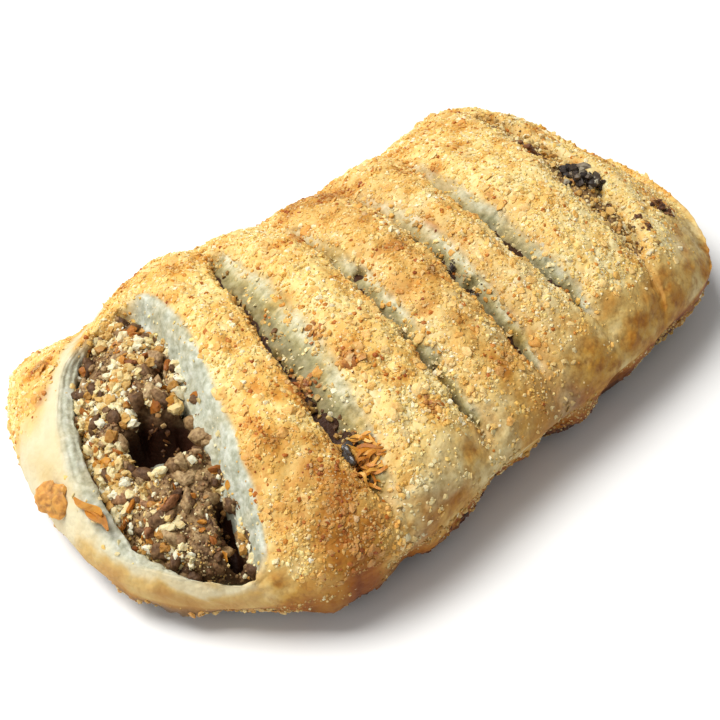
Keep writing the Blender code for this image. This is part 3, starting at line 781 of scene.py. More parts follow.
# sizes in mm of what the baked skin shows, and its colours by place on each ramp
pastryLook = {
    "patch": 7.69,               # floury and browned patches
    "speck": 1.613,              # specks of flour and toast
    "grain": 0.909,              # grains of the coat
    "layer": (3.846, 0.6667, 3.846),     # streaks of the torn layers, along X, Y and Z
    "coat": [(0.0, "EFE2B0"), (0.3, "EBD28C"), (0.55, "E3BA66"), (0.78, "CC9036"), (1.0, "9C5C14")],
    "grains": [(0.0, "E0C090"), (0.3, "F6E8CC"), (1.0, "FFFFFF")],
    # the coat's browning, which also carries the painted shade across the middle strips
    "coatBrownAndShade": [(0.0, "FFFFFF"), (0.4, "C8A872"), (0.8, "947240")],
    "skin": [(0.3, "DCC68E"), (0.45, "CDAE68"), (0.6, "BF9650"), (0.75, "A97838")],
    "skinSpecks": [(0.32, "B8935C"), (0.55, "FFFFFF")],
    # browning ramp for skin and lip, its middle stops darkened as painted shade down the walls
    "brownedAndShaded": [(0.0, "FFFFFF"), (0.15, "EDCF8C"), (0.36, "C9902C"), (0.58, "946416"), (0.76, "6A4210"),
                (0.95, "452C0E")],
    "lip": [(0.3, "D1C7A4"), (0.5, "D1C199"), (0.68, "CCB888"), (0.85, "C2A168")],
    "flaky": [(0.35, "B8A068"), (0.6, "DCCC98")],
    "dough": [(0.3, "A69E7A"), (0.5, "CBC39E"), (0.7, "E2DBC0")],
    "whiteDough": [(0.3, "91927B"), (0.5, "B1B29D"), (0.7, "CDCEBE")],
    "streaks": [(0.35, "CBCEC2"), (0.55, "FFFFFF")],
    "butter": [(0.48, "FFFFFF"), (0.64, "EACB7C")],
    # painted shade in the cuts, by depth
    "crackShade": [(0.0, "FFFFFF"), (0.5, "CDC8A6"), (1.0, "958A60")],
}


def puffPastryMaterial():
    # butter puff pastry, egg-washed and baked: golden crumb coat, pale raw-white dough in the cuts, a foot
    # browning toward the tray; painted shade down the walls, in the cracks and across the middle strips
    material, tree, shader = newMaterial("bakedPuffPastry", 0.62, 0.07, (1.0, 0.75, 0.45), 0.28)
    look = pastryLook
    where = addNode(tree, "TexCoord").outputs["Object"]
    masks = {name: addNode(tree, "Attribute", {"attribute_name": name}).outputs["Fac"]
             for name in ("coat", "dough", "brownAndShade", "lip", "pale", "toast", "inner", "crackShade")}
    patch = addNode(tree, "TexNoise", None, {
        "Vector": where, "Scale": perSize(look["patch"]), "Detail": 4.0}).outputs[0]
    speck = addNode(tree, "TexNoise", None, {
        "Vector": where, "Scale": perSize(look["speck"]), "Detail": 3.0, "Roughness": 0.6}).outputs[0]
    grain = addNode(tree, "TexVoronoi", {"feature": "F1"}, {"Vector": where, "Scale": perSize(look["grain"])})
    # crumb coat: cream to toast by how long it caught the heat, each grain a little its own
    coat = addNode(tree, "ValToRGB", None, {"Fac": masks["toast"]}, look["coat"]).outputs[0]
    ownShade = addNode(tree, "SeparateColor", None, {"Color": grain.outputs["Color"]}).outputs[0]
    ownColour = addNode(tree, "ValToRGB", None, {"Fac": ownShade}, look["grains"]).outputs[0]
    coat = addNode(tree, "Mix", multiplied, {0: 0.6, 6: coat, 7: ownColour}).outputs[2]
    # coat darkened by browning and by the painted shade across the middle strips
    coatBrownAndShade = addNode(tree, "ValToRGB", None, {"Fac": masks["brownAndShade"]}, look["coatBrownAndShade"]).outputs[0]
    coat = addNode(tree, "Mix", multiplied, {0: 1.0, 6: coat, 7: coatBrownAndShade}).outputs[2]
    # bare baked skin below the crumbs, floury in patches, browning toward the tray and darkened down the walls as
    # painted shade
    skin = addNode(tree, "ValToRGB", None, {"Fac": patch}, look["skin"]).outputs[0]
    skinSpecks = addNode(tree, "ValToRGB", None, {"Fac": speck}, look["skinSpecks"]).outputs[0]
    skin = addNode(tree, "Mix", multiplied, {0: 0.65, 6: skin, 7: skinSpecks}).outputs[2]
    uneven = addNode(tree, "Math", {"operation": "MULTIPLY_ADD"}, {0: patch, 1: 0.7, 2: -0.35}).outputs[0]
    heatAndShade = addNode(tree, "Math", {"operation": "ADD", "use_clamp": True}, {
        0: masks["brownAndShade"], 1: uneven}).outputs[0]
    brownedAndShaded = addNode(tree, "ValToRGB", None, {"Fac": heatAndShade}, look["brownedAndShaded"]).outputs[0]
    skin = addNode(tree, "Mix", multiplied, {0: 1.0, 6: skin, 7: brownedAndShaded}).outputs[2]
    # cream lip round the mouth, hardly browning, darker toward its underside as partly browning, partly painted
    # shade, and frayed pale flakes
    lip = addNode(tree, "ValToRGB", None, {"Fac": patch}, look["lip"]).outputs[0]
    lip = addNode(tree, "Mix", multiplied, {0: 0.85, 6: lip, 7: brownedAndShaded}).outputs[2]
    skin = addNode(tree, "Mix", mixed, {0: masks["lip"], 6: skin, 7: lip}).outputs[2]
    flaky = addNode(tree, "ValToRGB", None, {"Fac": speck}, look["flaky"]).outputs[0]
    skin = addNode(tree, "Mix", mixed, {0: masks["pale"], 6: skin, 7: flaky}).outputs[2]
    # raw-white layers at the knife cuts, buttery in places, streaked where they tore, with painted shade darkening
    # them deeper in the cracks
    layers = addNode(tree, "Mapping", None, {
        "Vector": where, "Scale": [perSize(size) for size in look["layer"]]}).outputs[0]
    streaks = addNode(tree, "TexNoise", None, {"Vector": layers, "Scale": 1.0, "Detail": 2.0}).outputs[0]
    streaks = addNode(tree, "ValToRGB", None, {"Fac": streaks}, look["streaks"]).outputs[0]
    butter = addNode(tree, "ValToRGB", None, {"Fac": patch}, look["butter"]).outputs[0]
    dough = addNode(tree, "ValToRGB", None, {"Fac": speck}, look["dough"]).outputs[0]
    dough = addNode(tree, "Mix", multiplied, {0: 0.45, 6: dough, 7: streaks}).outputs[2]
    dough = addNode(tree, "Mix", multiplied, {0: 0.8, 6: dough, 7: butter}).outputs[2]
    whiter = addNode(tree, "ValToRGB", None, {"Fac": speck}, look["whiteDough"]).outputs[0]
    whiter = addNode(tree, "Mix", multiplied, {0: 0.25, 6: whiter, 7: butter}).outputs[2]
    dough = addNode(tree, "Mix", mixed, {0: masks["inner"], 6: dough, 7: whiter}).outputs[2]
    crackShade = addNode(tree, "ValToRGB", None, {"Fac": masks["crackShade"]}, look["crackShade"]).outputs[0]
    dough = addNode(tree, "Mix", multiplied, {0: 0.85, 6: dough, 7: crackShade}).outputs[2]
    base = addNode(tree, "Mix", mixed, {0: masks["coat"], 6: skin, 7: coat}).outputs[2]
    base = addNode(tree, "Mix", mixed, {0: masks["dough"], 6: base, 7: dough}).outputs[2]
    tree.links.new(base, shader.inputs["Base Color"])
    rough = addNode(tree, "Bump", None, {"Height": speck, "Strength": 0.5, "Distance": 0.25 * mm}).outputs[0]
    grainy = addNode(tree, "Bump", {"invert": True}, {
        "Height": grain.outputs["Distance"], "Strength": 0.4, "Distance": 0.3 * mm, "Normal": rough}).outputs[0]
    tree.links.new(grainy, shader.inputs["Normal"])
    return material


# dried bread crumb: size in mm of the mottle on a crumb, and its tint where the coat has caught, which on the lid
# also carries the top's painted shade
crumbLook = {
    "mottle": 1.111,
    "caught": [(0.0, "FCFAE6"), (0.4, "FFFCF0"), (0.7, "EFD295"), (1.0, "BA8C44")],
}


def crumbMaterial(name, stops, roughness=0.6, baked=0.8, spots="DCC9A8"):
    # dried bread crumb, oven-browned: every crumb its own shade, darker where the coat has caught and, on the lid,
    # under the top's painted shade
    material, tree, shader = newMaterial(name, roughness, 0.25, (1.0, 0.75, 0.4))
    where = addNode(tree, "TexCoord").outputs["Object"]
    tint = addNode(tree, "Attribute", {"attribute_name": "tint"}).outputs["Fac"]
    toast = addNode(tree, "Attribute", {"attribute_name": "toast"}).outputs["Fac"]
    colour = addNode(tree, "ValToRGB", None, {"Fac": tint}, stops).outputs[0]
    caught = addNode(tree, "ValToRGB", None, {"Fac": toast}, crumbLook["caught"]).outputs[0]
    colour = addNode(tree, "Mix", multiplied, {0: baked, 6: colour, 7: caught}).outputs[2]
    mottle = addNode(tree, "TexNoise", None, {
        "Vector": where, "Scale": perSize(crumbLook["mottle"]), "Detail": 2.0}).outputs[0]
    shade = addNode(tree, "ValToRGB", None, {"Fac": mottle}, [(0.3, spots), (0.6, "FFFFFF")]).outputs[0]
    colour = addNode(tree, "Mix", multiplied, {0: 0.6, 6: colour, 7: shade}).outputs[2]
    tree.links.new(colour, shader.inputs["Base Color"])
    bump = addNode(tree, "Bump", None, {"Height": mottle, "Strength": 0.4, "Distance": 0.2 * mm}).outputs[0]
    tree.links.new(bump, shader.inputs["Normal"])
    return material


# cooked mince: sizes in mm of its broad shades and its grain, and the colour of the painted shade in its hollows
# and under the lid
minceLook = {"broad": 3.846, "fine": 0.7692, "grain": [(0.35, "96836A"), (0.62, "FFFFFF")], "hollow": "341808"}


def minceMaterial(name, stops, byTint=False):
    # cooked minced beef and onion: grey-brown grain, with painted shade darkening its hollows, the mince under the
    # lid and the low part of the mouth
    material, tree, shader = newMaterial(name, 0.6, 0.05, (1.0, 0.35, 0.2), 0.25)
    where = addNode(tree, "TexCoord").outputs["Object"]
    fine = addNode(tree, "TexNoise", None, {
        "Vector": where, "Scale": perSize(minceLook["fine"]), "Detail": 3.0}).outputs[0]
    if byTint:
        shadeBy = addNode(tree, "Attribute", {"attribute_name": "tint"}).outputs["Fac"]
    else:
        shadeBy = addNode(tree, "TexNoise", None, {
            "Vector": where, "Scale": perSize(minceLook["broad"]), "Detail": 4.0, "Roughness": 0.65}).outputs[0]
    meat = addNode(tree, "ValToRGB", None, {"Fac": shadeBy}, stops).outputs[0]
    light = addNode(tree, "ValToRGB", None, {"Fac": fine}, minceLook["grain"]).outputs[0]
    colour = addNode(tree, "Mix", multiplied, {0: 0.8, 6: meat, 7: light}).outputs[2]
    # painted shade from the pit attribute, mixed toward the hollow colour
    pit = addNode(tree, "Attribute", {"attribute_name": "pit"}).outputs["Fac"]
    paintedShade = addNode(tree, "Math", {"operation": "MULTIPLY", "use_clamp": True}, {0: pit, 1: 1.5}).outputs[0]
    colour = addNode(tree, "Mix", mixed, {0: paintedShade, 6: colour, 7: hexColour(minceLook["hollow"])}).outputs[2]
    tree.links.new(colour, shader.inputs["Base Color"])
    bump = addNode(tree, "Bump", None, {"Height": fine, "Strength": 0.8, "Distance": 0.45 * mm}).outputs[0]
    tree.links.new(bump, shader.inputs["Normal"])
    return material


def dress(piece, material):
    # a piece's finish, the body it rides on and its material slot
    piece.data.materials.append(material)
    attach(piece, "root")


# crumbs on the lid: counts, half sizes in mm, share that strays into the cuts, ramp of shades
lidCrumbs = {
    "crustGrains": {
        "count": 13000, "sizes": (0.2, 0.4), "detail": 0, "rough": 0.35, "sink": 0.5, "stray": 0.14,
        "stops": [(0.0, "DFB25C"), (0.35, "E8C276"), (0.75, "F0D592"), (1.0, "F7E6BC")]},
    "creamGrains": {
        "count": 4500, "sizes": (0.2, 0.42), "detail": 0, "rough": 0.35, "sink": 0.5, "stray": 0.3,
        "stops": [(0.0, "EEDA98"), (0.5, "F3E2B2"), (1.0, "F9F0D8")]},
    "goldenCrumbs": {
        "count": 9000, "sizes": (0.28, 0.72), "rough": 0.36, "shape": (0.55, 0.4, 0.75), "sink": 0.62,
        "stray": 0.1, "stops": [(0.0, "E0B45E"), (0.4, "EAC676"), (0.75, "F1D690"), (1.0, "F6E4B2")]},
    "creamCrumbs": {
        "count": 2000, "sizes": (0.28, 0.76), "rough": 0.36, "shape": (0.55, 0.4, 0.75), "sink": 0.56,
        "stray": 0.25, "stops": [(0.0, "ECD898"), (0.5, "F2E2B4"), (1.0, "F8F0DA")]},
    "toastedCrumbs": {
        "count": 1900, "sizes": (0.2, 0.62), "sink": 0.55, "stray": 0.08, "toasty": 9.0,
        "stops": [(0.0, "A35A16"), (0.5, "C47E28"), (1.0, "DBA048")]},
    "edgeCrumbs": {
        "count": 1500, "sizes": (0.3, 0.75), "tilt": 0.9, "sink": 0.4, "stray": 0.0, "edges": True,
        "stops": [(0.0, "D8A24C"), (0.5, "E8BE70"), (1.0, "F3D8A2")]},
    "paleFlakes": {
        "count": 950, "sizes": (0.25, 0.75), "rough": 0.45, "shape": (0.5, 0.22, 0.5), "sink": 0.4, "tilt": 0.8,
        "pale": True, "stray": 0.0, "stops": [(0.0, "C6B482"), (0.5, "D7C99C"), (1.0, "E4DBBC")]},
    "ventStrays": {
        "count": 620, "sizes": (0.28, 0.95), "rough": 0.4, "shape": (0.55, 0.35, 0.7), "sink": 0.4, "tilt": 0.8,
        "beside": vent, "stray": 0.0,
        "stops": [(0.0, "5E4226"), (0.25, "94743C"), (0.6, "D8C088"), (1.0, "ECE4C8")]},
    "crustFlakes": {
        "count": 1000, "sizes": (0.55, 1.2), "detail": 2, "rough": 0.5, "shape": (0.6, 0.22, 0.4), "sink": 0.52,
        "tilt": 0.3, "stray": 0.02, "stops": [(0.0, "DEAE5C"), (0.5, "E8C07A"), (1.0, "F2D69C")]},
}


def makeLidCrumbs():
    # weight: coat^1.5 and a share of the dough, or a kind's own, times patches; none low down in the mouth
    top, coat, dough, aside = (caseData[name] for name in ("top", "coat", "dough", "aside"))
    # the lid's crumbs take the top's browning and its painted shade into their toast
    toast = {"toast": caseData["toast"] + 1.3 * caseData["brownAndShade"]}
    for number, (name, kind) in enumerate(lidCrumbs.items()):
        patchy = 0.3 + smooth(-0.4, 0.4, softNoise(top, 4 * mm, 100 + number))
        weight = coat ** 1.5 + kind["stray"] * dough * (patchy > 0.9) * aside
        if "edges" in kind:
            weight = weight * smooth(0.7, 0.95, caseData["fold"])
        if "beside" in kind:
            line, _, share = cutShape(kind["beside"], top[..., 1])
            weight = share * bell(top[..., 0] - line, 2.4 * mm)
        if "pale" in kind:
            weight = caseData["pale"] + 0.22 * dough * aside
        weight = weight * patchy * (1 + kind.get("toasty", 0) * caseData["toast"] ** 3)
        weight = weight * ((top[..., 2] > 11 * mm) | (aside > 0.9))
        crumbs = scatter(name, kind, (top, caseData["normal"]), weight, 200 + number, toast)
        dress(crumbs, crumbMaterial(name, kind["stops"]))
    report("lid crumbs done")


# strays on the walls: crumbs and flour that fell past the lid, beads on the lip, burnt bits at the foot;
# near is how fast they thin out on the way down, foot the share of the way down where they gather
wallCrumbs = {
    "wallGrains": {
        "count": 4200, "sizes": (0.16, 0.4), "detail": 0, "rough": 0.35, "sink": 0.5, "near": 0.6,
        "stops": [(0.0, "A87834"), (0.5, "C8A160"), (1.0, "E2CD9C")]},
    "wallCrumbs": {
        "count": 420, "sizes": (0.3, 0.7), "sink": 0.6, "near": 0.5, "smooth": True,
        "stops": [(0.0, "A87834"), (0.5, "C49A54"), (1.0, "DCC08A")]},
    "flourSpecks": {
        "count": 140, "sizes": (0.3, 0.75), "shape": (0.6, 0.3, 0.6), "near": 0.45,
        "stops": [(0.0, "D9C598"), (1.0, "EEE4C8")]},
    "rimBeads": {
        "count": 170, "sizes": (0.3, 0.9), "sink": 0.5, "foot": 0.36, "lip": True,
        "stops": [(0.0, "B07838"), (0.5, "CFA262"), (1.0, "E4CC98")]},
    "burntFoot": {
        "count": 1500, "sizes": (0.3, 1.0), "shape": (0.6, 0.4, 0.8), "foot": 0.62,
        "stops": [(0.0, "3A1E10"), (0.5, "6B3C1E"), (1.0, "94602E")]},
}


def makeWallCrumbs():
    # weight: exp(-down / near) below the rim, or a bell round the foot's share, times patches
    walls = caseData["walls"]
    normals = -gridNormals(walls)
    down = np.linspace(0, 1, walls.shape[0])[:, None] + np.zeros(walls.shape[:2])
    for number, (name, kind) in enumerate(wallCrumbs.items()):
        if "foot" in kind:
            weight = bell(down - kind["foot"], 0.13) * (caseData["lipRing"] if "lip" in kind else 1)
        else:
            weight = np.exp(-down / kind["near"]) * smooth(0, 0.12, down) * (down < 0.85)
            weight = weight * (1 - 0.8 * caseData["lipRing"])
        weight = weight * (0.02 + smooth(-0.3, 0.4, softNoise(walls, 7 * mm, 130 + number)))
        bits = scatter(name, kind, (walls, normals), weight, 230 + number)
        dress(bits, crumbMaterial(name, kind["stops"]))
    report("wall crumbs done")


# loose bits on the mince in the mouth; crumby is the share that lies in drifts
meatShades = [(0.0, "5A3E26"), (0.3, "7E5E3E"), (0.6, "9E7E54"), (0.85, "BCA074"), (1.0, "8E5630")]
mouthBits = {
    "minceLumps": {
        "count": 190, "sizes": (0.8, 2.3), "detail": 2, "rough": 0.6, "shape": (0.55, 0.4, 0.8), "sink": 0.45,
        "crumby": 0.0, "smooth": True, "meat": True, "stops": meatShades},
    "minceGrains": {
        "count": 2000, "sizes": (0.22, 0.5), "sink": 0.4, "crumby": 0.0, "meat": True, "stops": meatShades},
    "mouthCrumbs": {
        "count": 1350, "sizes": (0.3, 1.25), "fewLarge": 2.4, "detail": 2, "rough": 0.65, "crumby": 0.97,
        "stops": [(0.0, "A87430"), (0.15, "C8A05C"), (0.45, "DAC492"), (0.75, "E6DAB8"), (1.0, "F0ECDE")]},
    "mouthGrains": {
        "count": 4200, "sizes": (0.16, 0.42), "detail": 0, "crumby": 0.85,
        "stops": [(0.0, "C08C44"), (0.4, "DDBD80"), (1.0, "F0E4C4")]},
    "whiteChips": {
        "count": 150, "sizes": (0.45, 1.0), "shape": (0.6, 0.3, 0.55), "crumby": 0.8,
        "stops": [(0.0, "CFCBB8"), (1.0, "EBE8DC")]},
    "toastChips": {
        "count": 110, "sizes": (0.6, 1.7), "detail": 2, "rough": 0.5, "shape": (0.6, 0.22, 0.45), "crumby": 0.6,
        "stops": [(0.0, "84480C"), (0.5, "AE6C18"), (1.0, "C89038")]},
}
looseLie = {"tilt": 0.7, "sink": 0.2, "fewLarge": 1.5}   # how bits on the mince lie, unless a kind says otherwise
# patches of the mouth that stay bare, and patches heaped with crumbs: x, y, radius in mm
barePatches = [
    (-56.5, -11.5, 5.5), (-58.8, -21.5, 5.0), (-51.5, 9.0, 3.2), (-58.5, 8.0, 2.6), (-60.5, -13.0, 3.0),
    (-53.0, 19.0, 2.6),
]
heapedPatches = [
    (-65.5, 4.0, 5.0), (-63.5, -6.0, 4.0), (-64.5, -27.5, 2.6), (-60.5, -29.5, 2.2), (-67.5, -16.0, 3.0),
    (-53.5, -25.5, 2.5), (-51.5, 15.0, 5.0), (-57.5, 11.0, 4.0),
]


def patchShare(points, patches):
    # the strongest of round patches exp(-(d/r)^2)
    share = np.zeros(points.shape[:-1])
    for patch in patches:
        share = np.maximum(share, np.exp(-spotDistance(points, *patch) ** 2))
    return share


def makeMouthBits():
    # weight: all over the mouth but its hollows, and for the crumby share in drifts toward the lip
    top = minceData["top"]
    within = openShare(mouth, top, 0.04)
    shallow = minceData["pit"] < 2.5 * mm
    lipward = band((-48, -62), top[..., 0] - 0.22 * top[..., 1])
    heaps = 0.2 * (2 * lipward - 1) + 1.1 * patchShare(top, heapedPatches) - 1.3 * patchShare(top, barePatches)
    drift = smooth(-0.35, 0.4, softNoise(top, 3.5 * mm, 500) + heaps)
    for number, (name, kind) in enumerate(mouthBits.items()):
        weight = within * (kind["crumby"] * drift + 1.0 - kind["crumby"]) * shallow
        bits = scatter(name, {**looseLie, **kind}, (top, minceData["normal"]), weight, 600 + number)
        finish = minceMaterial(name, kind["stops"], True) if "meat" in kind else crumbMaterial(name, kind["stops"])
        dress(bits, finish)
    report("mouth done")


# bits that fell into one of the other cuts
looseBits = {
    "slashBits": {
        "cut": slashes[0], "count": 420, "sizes": (0.25, 0.8), "rough": 0.4,
        "stops": [(0.0, "4A3018"), (0.4, "7C562C"), (0.8, "AC8848"), (1.0, "DCC48C")]},
    "ventCrumbs": {
        "cut": vent, "count": 620, "sizes": (0.3, 1.0), "rough": 0.4,
        "stops": [(0.0, "A87430"), (0.4, "D2AA62"), (0.75, "E2C88E"), (1.0, "EEE2BE")]},
    "ventGrains": {
        "cut": vent, "count": 900, "sizes": (0.16, 0.4), "detail": 0, "rough": 0.35,
        "stops": [(0.0, "C08C44"), (0.5, "DDBD80"), (1.0, "F0E4C4")]},
}


def makeLooseBits():
    # weight: how open the cut is, times patches
    top = minceData["top"]
    for number, (name, kind) in enumerate(looseBits.items()):
        patchy = 0.4 + smooth(-0.6, 0.2, softNoise(top, 4 * mm, 520 + number))
        weight = openShare(kind["cut"], top, 0.0) * patchy
        bits = scatter(name, {**looseLie, **kind}, (top, minceData["normal"]), weight, 620 + number)
        dress(bits, crumbMaterial(name, kind["stops"]))
    report("loose bits done")


# single bits, each at x, y with its half length in mm; each is how many smaller ones make it up, in a heap
singleBits = {
    "toastedFlakes": {
        "at": [(-22.5, -15.7, 2.3), (-23.1, -6.9, 1.6), (-31.0, -11.8, 2.2), (-32.4, -13.4, 1.6),
               (-29.9, -13.8, 1.5), (-16.4, -30.7, 1.6), (-45.4, 22.9, 3.4), (-47.5, 19.0, 1.9),
               (-62.0, -12.0, 1.6), (-34.2, -31.5, 1.6)],
        "each": 16, "heap": 0.2, "detail": 1, "shape": (0.55, 0.25, 0.5), "sink": 0.45, "tilt": 0.6,
        "stops": [(0.0, "A2602A"), (0.4, "C2853C"), (0.8, "D8A45A"), (1.0, "E6C48A")]},
    "rimFlakes": {
        "at": [(-73.3, 5.4, 2.9), (-73.7, 3.6, 2.3), (-72.6, 6.8, 2.0), (-73.9, 6.4, 1.6)],
        "shape": (0.8, 0.32, 0.45), "tilt": 0.5, "sink": 0.0, "rough": 0.42,
        "stops": [(0.0, "B8782C"), (0.5, "CC8F3E"), (1.0, "DDA858")]},
    "burntLumps": {
        "at": [(50.6, -3.2, 3.3), (50.0, -0.4, 2.6), (51.9, -5.8, 2.4), (48.9, -3.4, 2.0), (52.4, -2.2, 2.0),
               (8.9, -15.5, 0.9), (9.2, -9.0, 0.8)],
        "each": 22, "heap": 0.7, "detail": 1, "shape": (0.6, 0.4, 0.8), "rough": 0.4, "sink": 0.25, "tilt": 0.8,
        "stops": [(0.0, "2A211B"), (0.45, "463A30"), (0.8, "7A6D5A"), (1.0, "B8B096")]},
    "holeChips": {
        "at": [(-57.2, -2.6, 1.9), (-55.6, -3.9, 1.4), (-51.6, 1.4, 1.6), (-50.6, -1.2, 1.5), (-53.0, 4.2, 1.4),
               (-54.6, -18.0, 1.7), (-57.4, -23.6, 1.8), (-55.9, -20.4, 1.3)],
        "each": 7, "heap": 0.3, "detail": 1, "shape": (0.5, 0.25, 0.6), "rough": 0.45, "sink": 0.2, "tilt": 0.8,
        "stops": [(0.0, "4A2A10"), (0.4, "7C4E20"), (0.8, "A87C44"), (1.0, "CDB07C")]},
    "brownLumps": {
        "at": [(48.7, 8.6, 2.3), (47.6, 11.0, 1.7), (49.8, 6.4, 1.3), (60.7, -17.2, 1.9), (61.6, -19.0, 1.2),
               (50.9, -22.4, 1.0), (51.4, -19.6, 0.9), (50.2, -12.5, 1.0)],
        "each": 20, "heap": 0.5, "detail": 1, "shape": (0.6, 0.35, 0.7), "rough": 0.4, "sink": 0.35, "tilt": 0.7,
        "stops": [(0.0, "4A2A14"), (0.5, "6E4224"), (0.85, "95683C"), (1.0, "C8A468")]},
    "gristle": {
        "at": [(-34.2, -28.4, 1.9), (-33.0, -26.8, 1.1)], "shape": (0.7, 0.5, 0.7),
        "gloss": 0.22, "slot": "filling", "stops": [(0.0, "3E3B38"), (1.0, "5E5A55")]},
}
singleLie = {"detail": 3, "rough": 0.45, "tilt": 0.25, "sink": 0.3}


def surfaceAt(x, y):
    # height and normal of whichever surface is on top at each place, from the nearest grid point
    found = []
    for px, py in zip(x, y):
        best = None
        for data in (caseData, minceData):
            distance = (data["top"][..., 0] - px) ** 2 + (data["top"][..., 1] - py) ** 2
            cell = np.unravel_index(np.argmin(distance), distance.shape)
            if best is None or data["top"][cell][2] > best[0][2]:
                best = (data["top"][cell], data["normal"][cell])
        found.append(best)
    return np.array([place for place, _ in found]), np.array([normal for _, normal in found])


def makeSingleBits():
    # whole stones at their places, or heaps of small ones, normally spread, higher in the middle by exp(-3 d^2)
    for number, (name, kind) in enumerate(singleBits.items()):
        rng = np.random.default_rng(860 + number)
        spots = np.repeat(np.array(kind["at"]) * mm, kind.get("each", 1), axis=0)
        heap = 0 * spots[:, 2:]
        if "each" in kind:
            away = rng.normal(0, 0.5, (len(spots), 2))
            heap = kind["heap"] * spots[:, 2:] * np.exp(-3 * (away ** 2).sum(1, keepdims=True))
            spots[:, :2] += away * spots[:, 2:]
            spots[:, 2] *= rng.uniform(0.18, 0.5, len(spots))
        places, normals = surfaceAt(spots[:, 0], spots[:, 1])
        bits = sprinkle(name, places + normals * heap, normals, spots[:, 2], {**singleLie, **kind}, 900 + number)
        finish = crumbMaterial(name, kind["stops"], kind.get("gloss", 0.6), 0.0, "8A5A28")
        dress(bits, finish)
    report("single bits done")


# bundles of shreds: middle x and y, then spread across and along, range of lengths, half width and
# half thickness in mm; turn and fan in degrees
shreds = {
    "carrotShred": {
        "at": (-31.2, -30.2), "count": 70, "spread": (4.4, 3.8), "length": (2.0, 5.6), "width": 0.34,
        "thick": 0.12, "turn": -35, "fan": 40, "stops": [(0.0, "B06A10"), (0.5, "D88C20"), (1.0, "E8AE50")]},
    "rimShred": {
        "at": (-71.6, -4.2), "count": 3, "spread": (0.5, 0.8), "length": (7.0, 9.5), "width": 0.7,
        "thick": 0.22, "turn": -90, "fan": 4, "level": True, "stops": [(0.0, "A4620E"), (1.0, "D09030")]},
}


def makeShreds(name, kind, seed):
    # thin flat ribbons side by side: a line with a sine bend, swept by a flat four-point section
    rng = np.random.default_rng(seed)
    count, stations = kind["count"], 9
    places, normals = surfaceAt(np.array([kind["at"][0] * mm]), np.array([kind["at"][1] * mm]))
    up = np.array([0, 0, 1.0]) if "level" in kind else normals[0]
    angle = np.radians(kind["turn"] + rng.normal(0, kind["fan"], count))
    flat = np.stack([np.cos(angle), np.sin(angle), np.zeros(count)], -1)
    forward = flat - (flat @ up)[:, None] * up
    forward /= np.linalg.norm(forward, axis=1, keepdims=True)
    side = np.cross(up, forward)
    t = np.linspace(-0.5, 0.5, stations)[None, :, None]
    each = (count, 1, 1)
    length = rng.uniform(*kind["length"], count)[:, None, None] * mm
    middle = places[0] + rng.normal(0, 1, each) * kind["spread"][0] * mm * 0.5 * side[:, None]
    middle = middle + rng.normal(0, 1, each) * kind["spread"][1] * mm * 0.5 * forward[:, None]
    lift = (0.5 + rng.uniform(0, 1.3, each) + 0.5 * np.sin(4 * t + rng.uniform(0, 6, each))) * mm
    bend = 0.5 * mm * np.sin(5 * t + rng.uniform(0, 6, each)) * side[:, None]
    path = middle + t * length * forward[:, None] + bend + lift * up
    taper = 1 - (2 * np.abs(t)) ** 3 * 0.75
    section = np.array([(-1, -1), (1, -1), (1, 1), (-1, 1)])
    across = section[:, 0] * kind["width"] * mm
    above = section[:, 1] * kind["thick"] * mm
    verts = path[:, :, None] + (taper * across)[..., None] * side[:, None, None] + above[None, None, :, None] * up
    index = np.arange(count * stations * 4).reshape(count, stations, 4)
    turned = np.roll(index, -1, axis=2)
    quads = np.stack([index[:, :-1], turned[:, :-1], turned[:, 1:], index[:, 1:]], -1).reshape(-1, 4)
    quads = np.concatenate([quads, index[:, 0, ::-1], index[:, -1]])
    tint = np.repeat(rng.random(count), stations * 4)
    return makeMesh(name, verts.reshape(-1, 3), [quads], {"tint": tint}, False)


caseBody, caseData = makeCase()
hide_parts("crust")
dress(caseBody, puffPastryMaterial())
report(f"case done, {len(caseBody.data.polygons)} faces")

minceBody, minceData = makeMince()
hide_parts("filling")
dress(minceBody, minceMaterial("cookedMince", mince["stops"]))
report(f"filling done, {len(minceBody.data.polygons)} faces")

makeLidCrumbs()
makeWallCrumbs()
makeMouthBits()
makeLooseBits()
makeSingleBits()
for number, (name, kind) in enumerate(shreds.items()):
    dress(makeShreds(name, kind, 950 + number), crumbMaterial(name, kind["stops"], 0.5, 0.0))
report("shreds done")


camera = {
    "azimuth": -41.24,
    "elevation": 43.80,
    "distance": 0.2942,
    "target": (0.0002, 0.0, 0.015),
    "pictureWidth": 720,         # in pixels
    "pixelsPerUnit": 1477.0,     # focal length in pixels
    "offset": (26.4, -41.3),     # pixels that the picture's middle is moved by
}


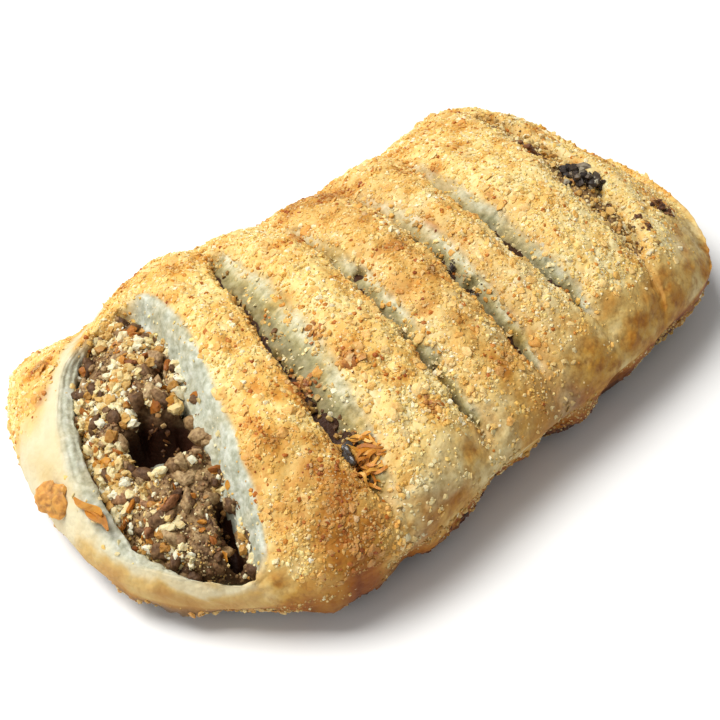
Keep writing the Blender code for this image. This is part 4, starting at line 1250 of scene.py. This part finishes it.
def makeCamera():
    # looks along the azimuth and elevation at the target, with a small shift
    azimuth, elevation = math.radians(camera["azimuth"]), math.radians(camera["elevation"])
    level = math.cos(elevation)
    back = np.array([math.sin(azimuth) * level, -math.cos(azimuth) * level, math.sin(elevation)])
    right = np.array([math.cos(azimuth), math.sin(azimuth), 0.0])
    data = bpy.data.cameras.new("camera")
    data.sensor_width = 36
    data.lens = camera["pixelsPerUnit"] / camera["pictureWidth"] * data.sensor_width
    data.shift_x = -camera["offset"][0] / camera["pictureWidth"]
    data.shift_y = camera["offset"][1] / camera["pictureWidth"]
    data.clip_start = 0.01
    eye = bpy.data.objects.new("camera", data)
    bpy.context.scene.collection.objects.link(eye)
    matrix = np.eye(4)
    matrix[:3, 0], matrix[:3, 1], matrix[:3, 2] = right, np.cross(back, right), back
    matrix[:3, 3] = np.array(camera["target"]) + back * camera["distance"]
    eye.matrix_world = Matrix(matrix.tolist())
    bpy.context.scene.camera = eye


lamps = [
    {"name": "softbox", "place": (-0.26, 0.28, 0.72), "size": 0.5, "power": 8.8},
    {"name": "sideFill", "place": (-0.65, -0.05, 0.35), "size": 0.5, "power": 0.9},
]
skyStrength = 0.3


def makeLights():
    # square soft boxes that face the pasty, and a white room
    for lamp in lamps:
        data = bpy.data.lights.new(lamp["name"], "AREA")
        data.size = lamp["size"]
        data.energy = lamp["power"]
        light = bpy.data.objects.new(lamp["name"], data)
        light.location = lamp["place"]
        light.rotation_euler = Vector(lamp["place"]).to_track_quat("Z", "Y").to_euler()
        bpy.context.scene.collection.objects.link(light)
    world = bpy.data.worlds.new("studio")
    world.use_nodes = True
    world.node_tree.nodes["Background"].inputs["Color"].default_value = (1, 1, 1, 1)
    world.node_tree.nodes["Background"].inputs["Strength"].default_value = skyStrength
    bpy.context.scene.world = world


floorSize = 1.5                  # half width in metres


def makeFloor():
    # one level square of white card under the pasty
    corners = floorSize * np.array([(-1, -1, 0), (1, -1, 0), (1, 1, 0), (-1, 1, 0)])
    floor = makeMesh("floor", corners, [np.array([[0, 1, 2, 3]])])
    material, _, shader = newMaterial("whiteCard", 0.9)
    shader.inputs["Base Color"].default_value = hexColour("F4F3F0")
    floor.data.materials.append(material)


makeFloor()
makeLights()
makeCamera()
bpy.context.scene.view_settings.view_transform = "Standard"
